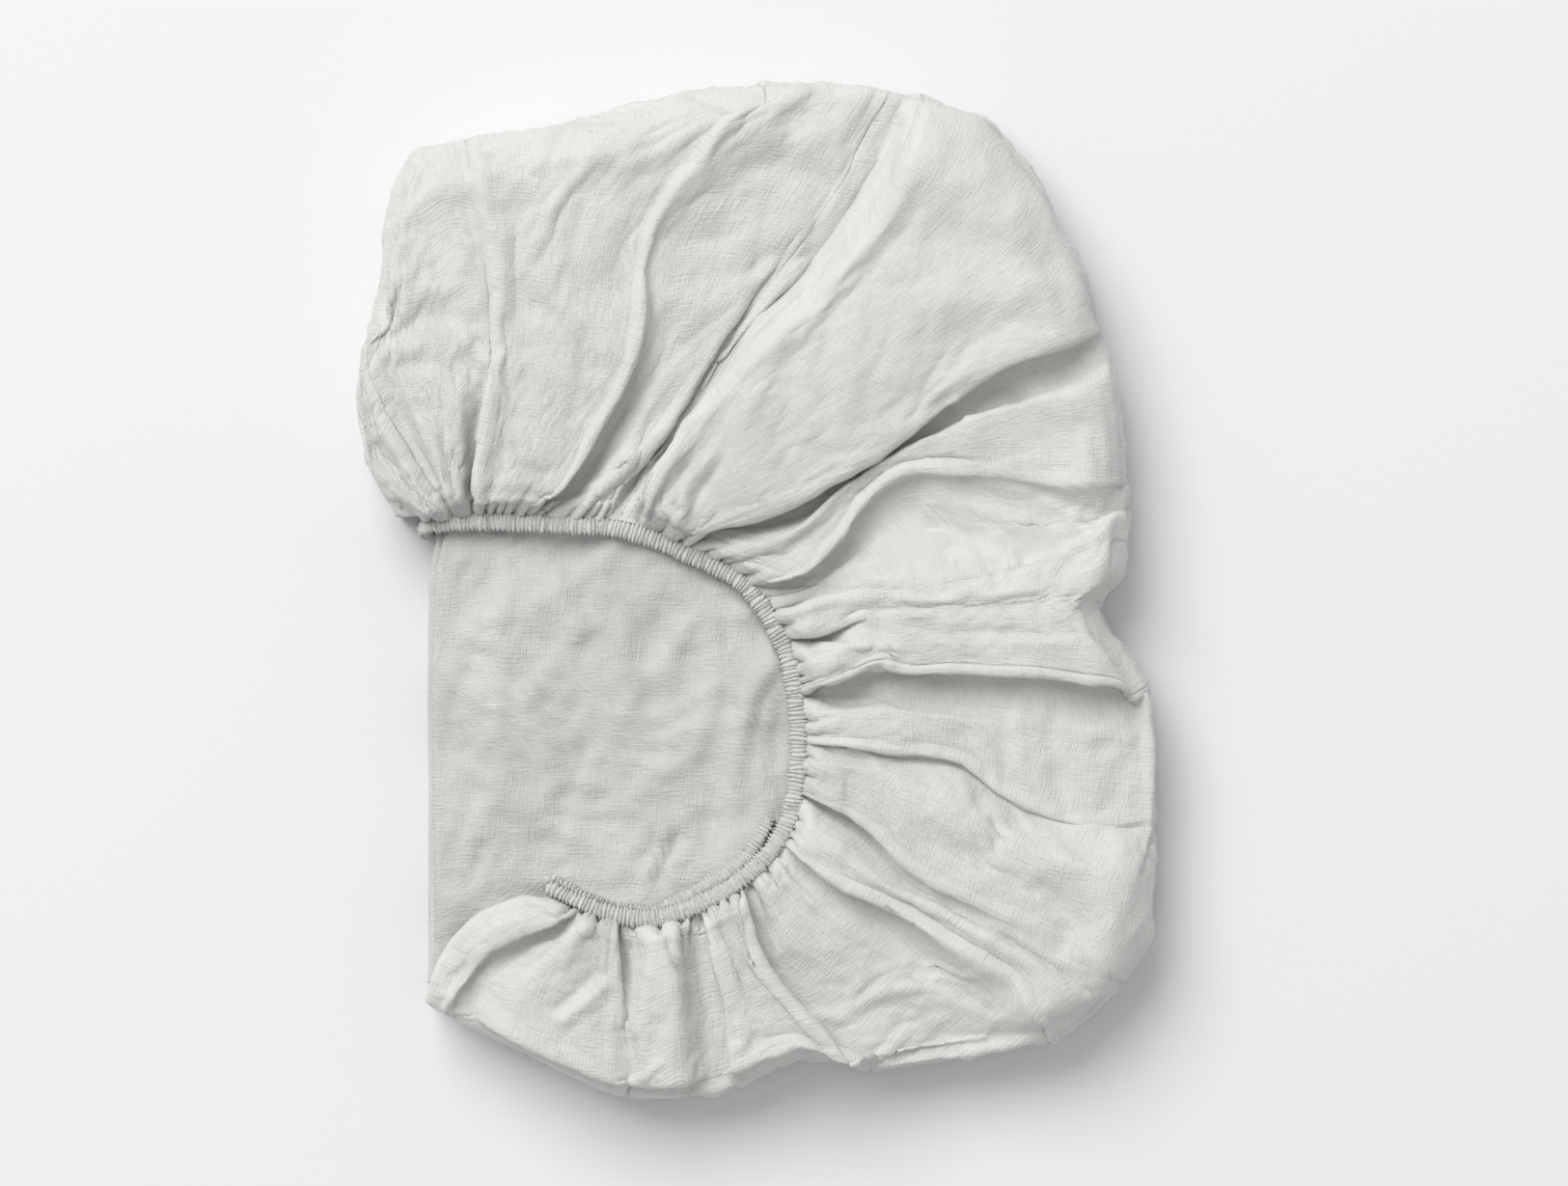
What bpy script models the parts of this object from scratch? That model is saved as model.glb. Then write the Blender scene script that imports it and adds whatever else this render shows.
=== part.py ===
# A linen fitted sheet, folded up and laid flat, as it lies on a table with its elastic on top.
# Metres, +Z up. The origin is under the middle of the bundle, on the surface that it rests on.
# Three sewn pieces: the flat main panel, folded back and forth into a stack; the gathered skirt,
# turned up round that stack and over its top; and the ruched casing of the elastic along its edge.

import math

import bpy
import numpy as np

MM = 0.001

# Driving dimensions, in millimetres
STACK_LAYERS = 16
STACK_HEIGHT = 40.0
LAYER_THICKNESS = 1.9
SKIRT_THICKNESS = 2.0
PIECE_GAP = 0.3
LEFT_FOLD_X = -154.0
LEFT_STEP_BACK = 10.0
STACK_BOTTOM_Y = -181.0
STACK_TOP_Y = 188.0
STACK_ROWS = 10
STACK_REACH = 20.0
RIM_INSET = 24.0
RIM_INSET_START = 15.0
RIM_INSET_END = 7.0
INSET_BLEND = 60.0

# The outline that the skirt makes on the table, clockwise from the left end of its elastic (x, y)
RIM = (
    (-169.0, 35.5), (-181.0, 62.5), (-186.0, 88.5), (-182.5, 117.5), (-176.0, 148.0),
    (-171.0, 184.0), (-160.0, 204.0), (-134.0, 211.5), (-83.0, 220.5), (-38.0, 231.5),
    (7.0, 237.0), (52.0, 235.5), (81.0, 230.0), (106.0, 221.5), (128.0, 194.5), (149.0, 158.5),
    (160.0, 124.5), (169.0, 91.0), (173.0, 51.0), (172.0, 10.0), (161.0, -7.5), (172.0, -26.0),
    (184.5, -53.0), (185.5, -98.0), (185.5, -143.0), (180.0, -170.0), (158.0, -197.0),
    (135.0, -210.5), (97.0, -218.5), (54.0, -225.5), (25.0, -218.5), (2.0, -227.0),
    (-25.0, -235.5), (-61.0, -237.0), (-101.0, -221.5), (-133.0, -205.5), (-154.0, -191.5),
)

# The line of the elastic on top of the stack, from its left end round to its loop (x, y)
ELASTIC = (
    (-155.0, 29.5), (-126.0, 32.5), (-88.0, 31.0), (-61.0, 28.5), (-35.0, 19.0), (-7.0, 4.0),
    (11.0, -22.0), (18.0, -49.5), (19.0, -80.0), (14.0, -108.0), (-2.0, -129.5), (-25.0, -144.5),
    (-49.0, -152.0), (-72.0, -148.5), (-93.0, -139.5),
)

# The folds of the skirt, in order along the elastic. hem and rim are distances along the two
# outlines above. The bows are how far the line bends to the left at a third and at two thirds of
# its way out. A lap is how far the edge hangs over its neighbour there: over the next fold where
# it is above 0, back over the last where it is below. The rest are heights of the cloth's middle:
# the valley, the fold's edge, and the crest of the lobe that follows.
FOLD_COLUMNS = ("name", "hem", "rim", "bow_near", "bow_far", "lap_near", "lap_far",
                "valley", "edge", "crest_near", "crest_far")
FOLDS = (
    ("left_dip", 13.0, 100.0, 4.0, 6.0, 0.0, 0.0, 48.0, 49.0, 53.0, 51.0),
    ("left_pleat", 23.0, 189.0, -13.5, -16.0, -4.0, -1.0, 46.5, 52.0, 56.0, 53.5),
    ("tongue_edge", 51.0, 343.0, -5.7, 7.8, 6.0, 3.0, 46.5, 55.0, 52.5, 52.0),
    ("seam_lobe_edge", 88.0, 390.0, -5.7, -3.9, 5.0, 1.0, 45.5, 52.0, 48.5, 47.5),
    ("tall_lobe_side", 111.0, 411.0, 9.5, 5.5, -7.0, -2.0, 44.5, 54.5, 58.0, 56.5),
    ("tall_lobe_edge", 124.0, 566.0, -2.1, 5.8, 7.0, 9.0, 45.0, 53.5, 54.0, 53.5),
    ("wing_edge", 162.0, 658.0, 21.5, 29.0, 6.0, 5.0, 45.5, 52.0, 51.5, 51.0),
    ("side_dip", 186.0, 699.0, 2.0, 1.4, 3.0, 0.0, 45.5, 50.5, 54.0, 53.0),
    ("finger_edge", 211.0, 746.0, 9.4, 7.0, 7.0, 6.0, 44.5, 52.0, 49.0, 47.5),
    ("ledge_edge", 235.0, 820.0, 8.6, 1.5, 4.5, 0.0, 46.5, 51.5, 52.0, 54.0),
    ("arm_edge", 259.0, 888.0, 0.2, 3.9, 5.0, 4.0, 45.5, 52.0, 53.5, 53.5),
    ("fan_edge", 282.0, 932.0, 4.7, 10.2, 4.0, 4.0, 45.0, 52.0, 51.0, 51.5),
    ("slit", 311.0, 1015.0, -8.4, -5.5, 4.0, 3.0, 45.0, 52.0, 55.0, 53.0),
    ("dark_valley", 338.0, 1096.0, 1.2, -0.9, 0.0, 0.0, 45.5, 47.0, 51.0, 50.0),
    ("small_pleat", 368.0, 1135.0, -0.5, -1.0, -3.0, 0.0, 46.0, 52.0, 53.0, 51.5),
    ("pouch_dip", 391.0, 1220.0, -5.3, -7.6, 0.0, 0.0, 46.5, 47.5, 49.0, 47.5),
)
START_LINE = {"hem": 0.0, "rim": 0.0, "bow_near": 0.0, "bow_far": 0.0}
END_LINE = {"hem": 400.0, "rim": 1239.0, "bow_near": -10.5, "bow_far": -11.2}
START_HEIGHT = 44.5
END_EDGE = 46.8
END_UNDER = 42.3
END_LAP = 10.0

# Rows of the skirt from its hem to its shoulder: how far out, and the shares of the three heights
TOP_COLUMNS = ("out", "hem", "near", "far")
TOP_ROWS = (
    (0.00, 1.00, 0.00, 0.00),
    (0.08, 0.50, 0.50, 0.00),
    (0.20, 0.12, 0.88, 0.00),
    (0.36, 0.00, 0.92, 0.08),
    (0.54, 0.00, 0.45, 0.55),
    (0.72, 0.00, 0.00, 1.00),
)
# Rows down the side and in under the bundle: the share of the inset, and the height
SIDE_COLUMNS = ("inward", "height")
SIDE_ROWS = (
    (0.20, 36.0),
    (0.00, 24.0),
    (0.12, 9.0),
    (0.40, 1.0),
    (0.85, 1.0),
)
SHOULDER_INWARD = 0.62
SHOULDER_SHARE = 0.55
HEM_HEIGHT = 43.6
FOLD_STEPS = 1
LOBE_SPACING = 40.0
LOBE_ROUND = 3.0

# The casing: a ruched tube, with the way that it goes as (x, y, z, half width)
CASING_HALF_HEIGHT = 3.0
CASING_REST = STACK_HEIGHT + PIECE_GAP + CASING_HALF_HEIGHT
CASING_LIFT = 47.2
CASING_UNDER = 43.4
CASING_HALF_WIDTH = 4.7
CASING_SIDES = 6
RIB_PITCH = 6.0
RIB_DEPTH = 0.8
STEEP_RUN = 0.35
CASING_DOWN = (
    (-158.5, 26.0, 0.5, 4.4), (-159.0, 26.5, 18.0, 4.4), (-159.0, 27.5, 32.0, 4.4),
    (-157.5, 28.5, 41.0, 4.6), (-150.0, 30.0, 45.4, 4.7),
)
CASING_BACK = (
    (-96.6, -137.0, 44.8, 2.9), (-96.2, -133.8, 43.8, 2.9), (-91.5, -132.9, 43.3, 3.0),
    (-80.3, -138.0, CASING_UNDER, 3.4), (-68.0, -143.0, CASING_UNDER, 3.4),
    (-48.0, -145.4, CASING_UNDER, 3.4), (-26.5, -138.0, CASING_UNDER, 3.4),
    (-5.5, -124.2, CASING_UNDER, 3.4), (6.5, -105.5, CASING_UNDER, 3.4),
)
HEM_OUTWARD = CASING_HALF_WIDTH + PIECE_GAP + 0.8

# Colours as linear values, roughness of washed linen
LINEN = (0.62, 0.62, 0.60, 1.0)
LINEN_SHADED = (0.56, 0.56, 0.545, 1.0)
LINEN_ROUGHNESS = 0.9


def clear_scene():
    for item in list(bpy.data.objects):
        bpy.data.objects.remove(item, do_unlink=True)


def row_of(columns, values):
    return dict(zip(columns, values))


def smooth(value):
    share = min(max(value, 0.0), 1.0)
    return share * share * (3.0 - 2.0 * share)


def catmull(points, steps):
    # A smooth curve through the points, with so many steps between two of them.
    rows = np.asarray(points, float)
    ends = np.vstack([2 * rows[0] - rows[1], rows, 2 * rows[-1] - rows[-2]])
    out = []
    for i in range(len(rows) - 1):
        a, b, c, d = ends[i:i + 4]
        for k in range(steps):
            t = k / steps
            out.append(0.5 * (2 * b + (c - a) * t + (2 * a - 5 * b + 4 * c - d) * t ** 2
                              + (3 * b - a - 3 * c + d) * t ** 3))
    out.append(rows[-1])
    return np.array(out)


class Outline:
    # A smooth plan curve that is read by the distance along it.
    def __init__(self, points):
        self.points = catmull(points, 12)
        steps = np.linalg.norm(np.diff(self.points, axis=0), axis=1)
        self.along = np.concatenate([[0.0], np.cumsum(steps)])
        self.length = self.along[-1]

    def at(self, distance):
        place = [np.interp(distance, self.along, self.points[:, axis]) for axis in (0, 1)]
        return np.array(place)

    def left(self, distance):
        ahead = self.at(min(distance + 4.0, self.length))
        behind = self.at(max(distance - 4.0, 0.0))
        run = ahead - behind
        return np.array([-run[1], run[0]]) / np.hypot(*run)


def rim_inset(rim, distance):
    # The room between the skirt's outside and the stack, less at both ends of the skirt.
    start = smooth(distance / INSET_BLEND)
    end = smooth((rim.length - distance) / INSET_BLEND)
    inset = RIM_INSET_START + (RIM_INSET - RIM_INSET_START) * start
    return RIM_INSET_END + (inset - RIM_INSET_END) * end


def stack_sides(rim):
    # The plan of the stack: what is left inside the skirt's room, as a closed outline.
    places = np.arange(0.0, rim.length, 4.0)
    edge = [rim.at(s) - rim.left(s) * rim_inset(rim, s) for s in places]
    return np.array(edge)


def crossings_at(edge, y):
    found = []
    for a, b in zip(edge[:-1], edge[1:]):
        if (a[1] - y) * (b[1] - y) <= 0.0 and a[1] != b[1]:
            found.append(a[0] + (b[0] - a[0]) * (y - a[1]) / (b[1] - a[1]))
    return found


def stack_limits(edge, y):
    # The left and right end of a layer at this y, clear of the skirt for some way above and below.
    left = LEFT_FOLD_X + LEFT_STEP_BACK * smooth(y / INSET_BLEND)
    right = edge[:, 0].max()
    for level in (y - STACK_REACH, y, y + STACK_REACH):
        found = crossings_at(edge, min(max(level, STACK_BOTTOM_Y), STACK_TOP_Y))
        right = min(right, max(found))
        if level > INSET_BLEND:
            left = max(left, min(found))
    return left, right


def stack_section(left, right, wander):
    # One back-and-forth section of the layers, as (x, z), from the bottom layer to the top one.
    pitch = (STACK_HEIGHT - LAYER_THICKNESS) / (STACK_LAYERS - 1)
    turn = pitch / 2
    section = []
    for layer in range(STACK_LAYERS):
        z = LAYER_THICKNESS / 2 + pitch * layer
        forward = layer % 2 == 0
        low = left + turn + wander[layer]
        high = right - turn - wander[-1 - layer]
        count = 10 if layer == STACK_LAYERS - 1 else 2
        xs = np.linspace(low, high, count + 1)
        if not forward:
            xs = xs[::-1]
        section.extend((x, z) for x in xs)
        if layer < STACK_LAYERS - 1:
            side = 1.0 if forward else -1.0
            for angle in (-30.0, 30.0):
                bend = math.radians(angle)
                x = xs[-1] + side * turn * math.cos(bend)
                section.append((x, z + turn + turn * math.sin(bend)))
    return section


def stack_grid(rim):
    edge = stack_sides(rim)
    wander = [1.4 * (1.0 + math.sin(2.3 * layer)) for layer in range(STACK_LAYERS)]
    grid = []
    for y in np.linspace(STACK_BOTTOM_Y, STACK_TOP_Y, STACK_ROWS):
        left, right = stack_limits(edge, y)
        grid.append([(x, y, z) for x, z in stack_section(left, right, wander)])
    return np.array(grid)


def fold_guides():
    # The lines that the skirt is lofted through, each a dictionary of plan and heights.
    folds = [row_of(FOLD_COLUMNS, values) for values in FOLDS]
    guides = [guide_on(START_LINE, START_HEIGHT, START_HEIGHT)]
    previous = START_LINE
    crest = (53.0, 48.0)
    for fold in folds:
        guides.extend(lobe(previous, fold, crest))
        guides.extend(fold_edge(fold, crest))
        crest = (fold["crest_near"], fold["crest_far"])
        previous = fold
    guides.extend(lobe(previous, END_LINE, crest))
    guides.append(guide_on(END_LINE, END_EDGE, END_EDGE))
    under = guide_on(END_LINE, END_UNDER, END_UNDER, shift=(END_LAP, END_LAP))
    under["tuck"] = SKIRT_THICKNESS + 1.2
    under["hem_height"] = END_UNDER
    guides.append(under)
    return guides


def guide_on(line, near, far, shift=(0.0, 0.0), hem_step=0.0, rim_step=0.0):
    return {
        "hem": line["hem"] + hem_step, "rim": line["rim"] + rim_step,
        "bow_near": line["bow_near"] + shift[0], "bow_far": line["bow_far"] + shift[1],
        "near": near, "far": far, "tuck": 0.0, "hem_height": HEM_HEIGHT,
    }


def lobe(last, fold, crest):
    # The lines over the lobe between two folds, more of them where it is wide at the rim.
    count = max(1, round((fold["rim"] - last["rim"]) / LOBE_SPACING))
    lines = []
    for i in range(count):
        share = (i + 1) / (count + 1)
        line = {key: last[key] + (fold[key] - last[key]) * share
                for key in ("hem", "rim", "bow_near", "bow_far")}
        drop = LOBE_ROUND * (2.0 * share - 1.0) ** 2
        lines.append(guide_on(line, crest[0] - drop, crest[1] - drop))
    return lines


def fold_edge(fold, last_crest):
    # Four lines across a fold: the lobe's shoulder, its edge, the cloth tucked beneath, the valley.
    # A fold that laps back over the last one has them in the other order.
    forward = fold["lap_near"] >= 0.0
    side = 1.0 if forward else -1.0
    crest = last_crest if forward else (fold["crest_near"], fold["crest_far"])
    valley = fold["valley"]
    edge = fold["edge"]
    far_edge = valley + (edge - valley) * (1.0 if fold["lap_far"] else 0.5)
    lap = (fold["lap_near"], fold["lap_far"])
    guides = [
        guide_on(fold, (edge + crest[0]) / 2, (far_edge + crest[1]) / 2, (side * 7.0, side * 8.0),
                 -side * 2.1, -side * 7.0),
        guide_on(fold, edge, far_edge, (0.0, 0.0), -side * 0.7, -side * 2.0),
        guide_on(fold, valley, valley, lap, side * 0.7, side * 2.0),
        guide_on(fold, valley + 0.5, valley + 0.5, (-side * 5.0, -side * 6.0),
                 side * 2.1, side * 7.0),
    ]
    return guides if forward else guides[::-1]


def bow(out, near, far):
    # A bend that is nothing at both ends, near at a third and far at two thirds.
    spread = 13.5 * out * (1.0 - out)
    return spread * ((2.0 / 3.0 - out) * near + (out - 1.0 / 3.0) * far)


def guide_points(guide, hem_line, rim):
    # One line of the skirt from its hem, over the top, down the side and in under the bundle.
    hem_side = hem_line.left(guide["hem"])
    hem = hem_line.at(guide["hem"]) + hem_side * HEM_OUTWARD
    edge = rim.at(guide["rim"])
    inward = -rim.left(guide["rim"])
    inset = rim_inset(rim, guide["rim"])
    run = edge - hem
    across = np.array([-run[1], run[0]]) / np.hypot(*run)
    points = []
    for values in TOP_ROWS:
        row = row_of(TOP_COLUMNS, values)
        place = hem + run * row["out"] + across * bow(row["out"], guide["bow_near"], guide["bow_far"])
        height = (row["hem"] * guide["hem_height"] + row["near"] * guide["near"]
                  + row["far"] * guide["far"])
        points.append((place[0], place[1], height))
    floor_height = STACK_HEIGHT + PIECE_GAP + SKIRT_THICKNESS / 2
    shoulder = floor_height + SHOULDER_SHARE * (guide["far"] - floor_height)
    place = edge + inward * (inset * SHOULDER_INWARD + guide["tuck"])
    points.append((place[0], place[1], shoulder))
    for values in SIDE_ROWS:
        row = row_of(SIDE_COLUMNS, values)
        place = edge + inward * (inset * row["inward"] + guide["tuck"])
        points.append((place[0], place[1], row["height"]))
    return points


def skirt_grid(hem_line, rim):
    lines = np.array([guide_points(guide, hem_line, rim) for guide in fold_guides()])
    columns = [catmull(lines[:, row], FOLD_STEPS) for row in range(lines.shape[1])]
    return np.stack(columns, axis=1)


def grid_normals(grid):
    down = np.gradient(grid, axis=0)
    across = np.gradient(grid, axis=1)
    normals = np.cross(down, across)
    return normals / np.linalg.norm(normals, axis=2, keepdims=True)


def thick_sheet(name, grid, thickness, material):
    # A closed sheet of cloth on a grid of points on its middle surface.
    normals = grid_normals(grid) * thickness / 2
    rows, columns = grid.shape[:2]
    vertices = np.concatenate([(grid + normals).reshape(-1, 3), (grid - normals).reshape(-1, 3)])
    vertices[:, 2] = np.maximum(vertices[:, 2], 0.0)
    size = rows * columns
    faces = []
    for i in range(rows - 1):
        for j in range(columns - 1):
            a = i * columns + j
            face = (a, a + columns, a + columns + 1, a + 1)
            faces.append(face)
            faces.append(tuple(size + corner for corner in face[::-1]))
    border = [j for j in range(columns)]
    border += [i * columns + columns - 1 for i in range(1, rows)]
    border += [(rows - 1) * columns + j for j in range(columns - 2, -1, -1)]
    border += [i * columns for i in range(rows - 2, 0, -1)]
    for a, b in zip(border, border[1:] + border[:1]):
        faces.append((a, b, size + b, size + a))
    return mesh_object(name, vertices, faces, material)


def mesh_object(name, vertices, faces, material):
    mesh = bpy.data.meshes.new(name)
    mesh.from_pydata([tuple(v) for v in np.asarray(vertices) * MM], [], faces)
    mesh.validate()
    mesh.shade_smooth()
    mesh.set_sharp_from_angle(angle=math.radians(60))
    mesh.materials.append(material)
    item = bpy.data.objects.new(name, mesh)
    bpy.context.scene.collection.objects.link(item)
    return item


def casing_route():
    # The way of the casing, as (x, y, z, half width): down the stack's side, round the top, back.
    rest = []
    for i, (x, y) in enumerate(ELASTIC):
        lift = smooth((i - 8.0) / 3.0) * (1.0 - 0.3 * smooth((i - 12.5) / 1.5))
        half = CASING_HALF_WIDTH - 1.2 * smooth((i - 12.5) / 1.5)
        rest.append((x, y, CASING_REST + (CASING_LIFT - CASING_REST) * lift, half))
    return catmull(list(CASING_DOWN) + rest[1:] + list(CASING_BACK), 16)


def even_points(route, step):
    along = np.concatenate([[0.0], np.cumsum(np.linalg.norm(np.diff(route[:, :3], axis=0), axis=1))])
    count = int(round(along[-1] / step))
    places = np.linspace(0.0, along[-1], count + 1)
    return np.stack([np.interp(places, along, route[:, axis]) for axis in range(4)], axis=1)


def level_side(tangent, last_side):
    # The level direction across the casing. Where it runs down the stack, the last one is kept.
    flat = math.hypot(tangent[0], tangent[1])
    if flat > STEEP_RUN:
        return np.array([tangent[1], -tangent[0], 0.0]) / flat
    side = last_side - tangent * np.dot(last_side, tangent)
    return side / np.linalg.norm(side)


def casing_object(material):
    # A ring at each rib's crest and at each hollow between two ribs.
    points = even_points(casing_route(), RIB_PITCH / 2)
    tangents = np.gradient(points[:, :3], axis=0)
    tangents /= np.linalg.norm(tangents, axis=1, keepdims=True)
    side = np.array([0.0, -1.0, 0.0])
    vertices = []
    for i, (point, tangent) in enumerate(zip(points, tangents)):
        side = level_side(tangent, side)
        up = np.cross(tangent, side)
        pinch = RIB_DEPTH * (i % 2)
        for corner in range(CASING_SIDES):
            angle = 2 * math.pi * (corner + 0.5) / CASING_SIDES
            across = side * math.cos(angle) * (point[3] - pinch) / math.cos(math.pi / CASING_SIDES)
            tall = up * math.sin(angle) * (CASING_HALF_HEIGHT - pinch * 0.6)
            vertices.append(point[:3] + across + tall)
    faces = []
    rings = len(points)
    for i in range(rings - 1):
        for k in range(CASING_SIDES):
            a = i * CASING_SIDES + k
            b = i * CASING_SIDES + (k + 1) % CASING_SIDES
            faces.append((a, b, b + CASING_SIDES, a + CASING_SIDES))
    faces.append(tuple(range(CASING_SIDES))[::-1])
    last = (rings - 1) * CASING_SIDES
    faces.append(tuple(last + k for k in range(CASING_SIDES)))
    return mesh_object("elastic_casing", vertices, faces, material)


def linen(name, colour):
    material = bpy.data.materials.new(name)
    material.use_nodes = True
    shader = material.node_tree.nodes["Principled BSDF"]
    shader.inputs["Base Color"].default_value = colour
    shader.inputs["Roughness"].default_value = LINEN_ROUGHNESS
    shader.inputs["Metallic"].default_value = 0.0
    return material


def build():
    clear_scene()
    rim = Outline(RIM)
    hem_line = Outline(ELASTIC)
    thick_sheet("main_panel", stack_grid(rim), LAYER_THICKNESS, linen("washed_linen_panel", LINEN))
    thick_sheet("skirt", skirt_grid(hem_line, rim), SKIRT_THICKNESS, linen("washed_linen_skirt", LINEN))
    casing_object(linen("ruched_linen_casing", LINEN_SHADED))


build()
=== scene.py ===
# A washed linen fitted sheet, folded into a bundle and seen from straight above.
# The tables are in millimetres, and mm turns them to the scene's metres. Its frame is the packed
# model's: the origin is on the floor under the middle of the bundle, and +Z is up.

import math

import bpy
import numpy as np
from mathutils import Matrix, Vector, noise


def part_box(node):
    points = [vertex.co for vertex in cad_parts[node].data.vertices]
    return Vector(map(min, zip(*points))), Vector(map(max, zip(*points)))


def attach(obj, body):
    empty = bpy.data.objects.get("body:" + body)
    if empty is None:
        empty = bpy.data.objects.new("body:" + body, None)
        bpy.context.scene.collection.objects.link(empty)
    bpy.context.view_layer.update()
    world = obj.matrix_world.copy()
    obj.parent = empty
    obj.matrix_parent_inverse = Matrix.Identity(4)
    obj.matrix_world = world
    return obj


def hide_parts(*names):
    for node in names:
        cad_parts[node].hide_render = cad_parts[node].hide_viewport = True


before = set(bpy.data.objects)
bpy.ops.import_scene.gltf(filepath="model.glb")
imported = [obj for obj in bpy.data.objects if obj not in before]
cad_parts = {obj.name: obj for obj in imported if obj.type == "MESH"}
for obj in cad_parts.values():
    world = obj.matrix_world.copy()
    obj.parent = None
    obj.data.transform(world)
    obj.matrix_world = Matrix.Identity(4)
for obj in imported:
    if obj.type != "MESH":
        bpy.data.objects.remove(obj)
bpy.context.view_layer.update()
mm = 0.001

photo = {
    "size": 0.45,               # millimetres of the bundle's top for one pixel
    "middle": (784.5, 613.0),   # the pixel over the origin
    "width": 1625,
}

# The bundle's plan. The rim is the outline on the table, clockwise from the left end of the
# elastic, and the elastic is the line of the casing on top, from there to its loop.
bundle = {
    "rim": (
        (-169.0, 35.5), (-181.0, 62.5), (-186.0, 88.5), (-182.5, 117.5), (-176.0, 148.0),
        (-171.0, 184.0), (-160.0, 204.0), (-134.0, 211.5), (-83.0, 220.5), (-38.0, 231.5),
        (7.0, 237.0), (52.0, 235.5), (81.0, 230.0), (106.0, 221.5), (128.0, 194.5),
        (149.0, 158.5), (160.0, 124.5), (169.0, 91.0), (173.0, 51.0), (172.0, 10.0),
        (161.0, -7.5), (172.0, -26.0), (184.5, -53.0), (185.5, -98.0), (185.5, -143.0),
        (180.0, -170.0), (158.0, -197.0), (135.0, -210.5), (97.0, -218.5), (54.0, -225.5),
        (25.0, -218.5), (2.0, -227.0), (-25.0, -235.5), (-61.0, -237.0), (-101.0, -221.5),
        (-133.0, -205.5), (-154.0, -191.5),
    ),
    "elastic": (
        (-155.0, 29.5), (-126.0, 32.5), (-88.0, 31.0), (-61.0, 28.5), (-35.0, 19.0),
        (-7.0, 4.0), (11.0, -22.0), (18.0, -49.5), (19.0, -80.0), (14.0, -108.0),
        (-2.0, -129.5), (-25.0, -144.5), (-49.0, -152.0), (-72.0, -148.5), (-93.0, -139.5),
    ),
    "inset": 24.0,              # room between the skirt's outside and the stack
    "insetStart": 15.0,
    "insetEnd": 7.0,
    "insetBlend": 60.0,
}

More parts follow.
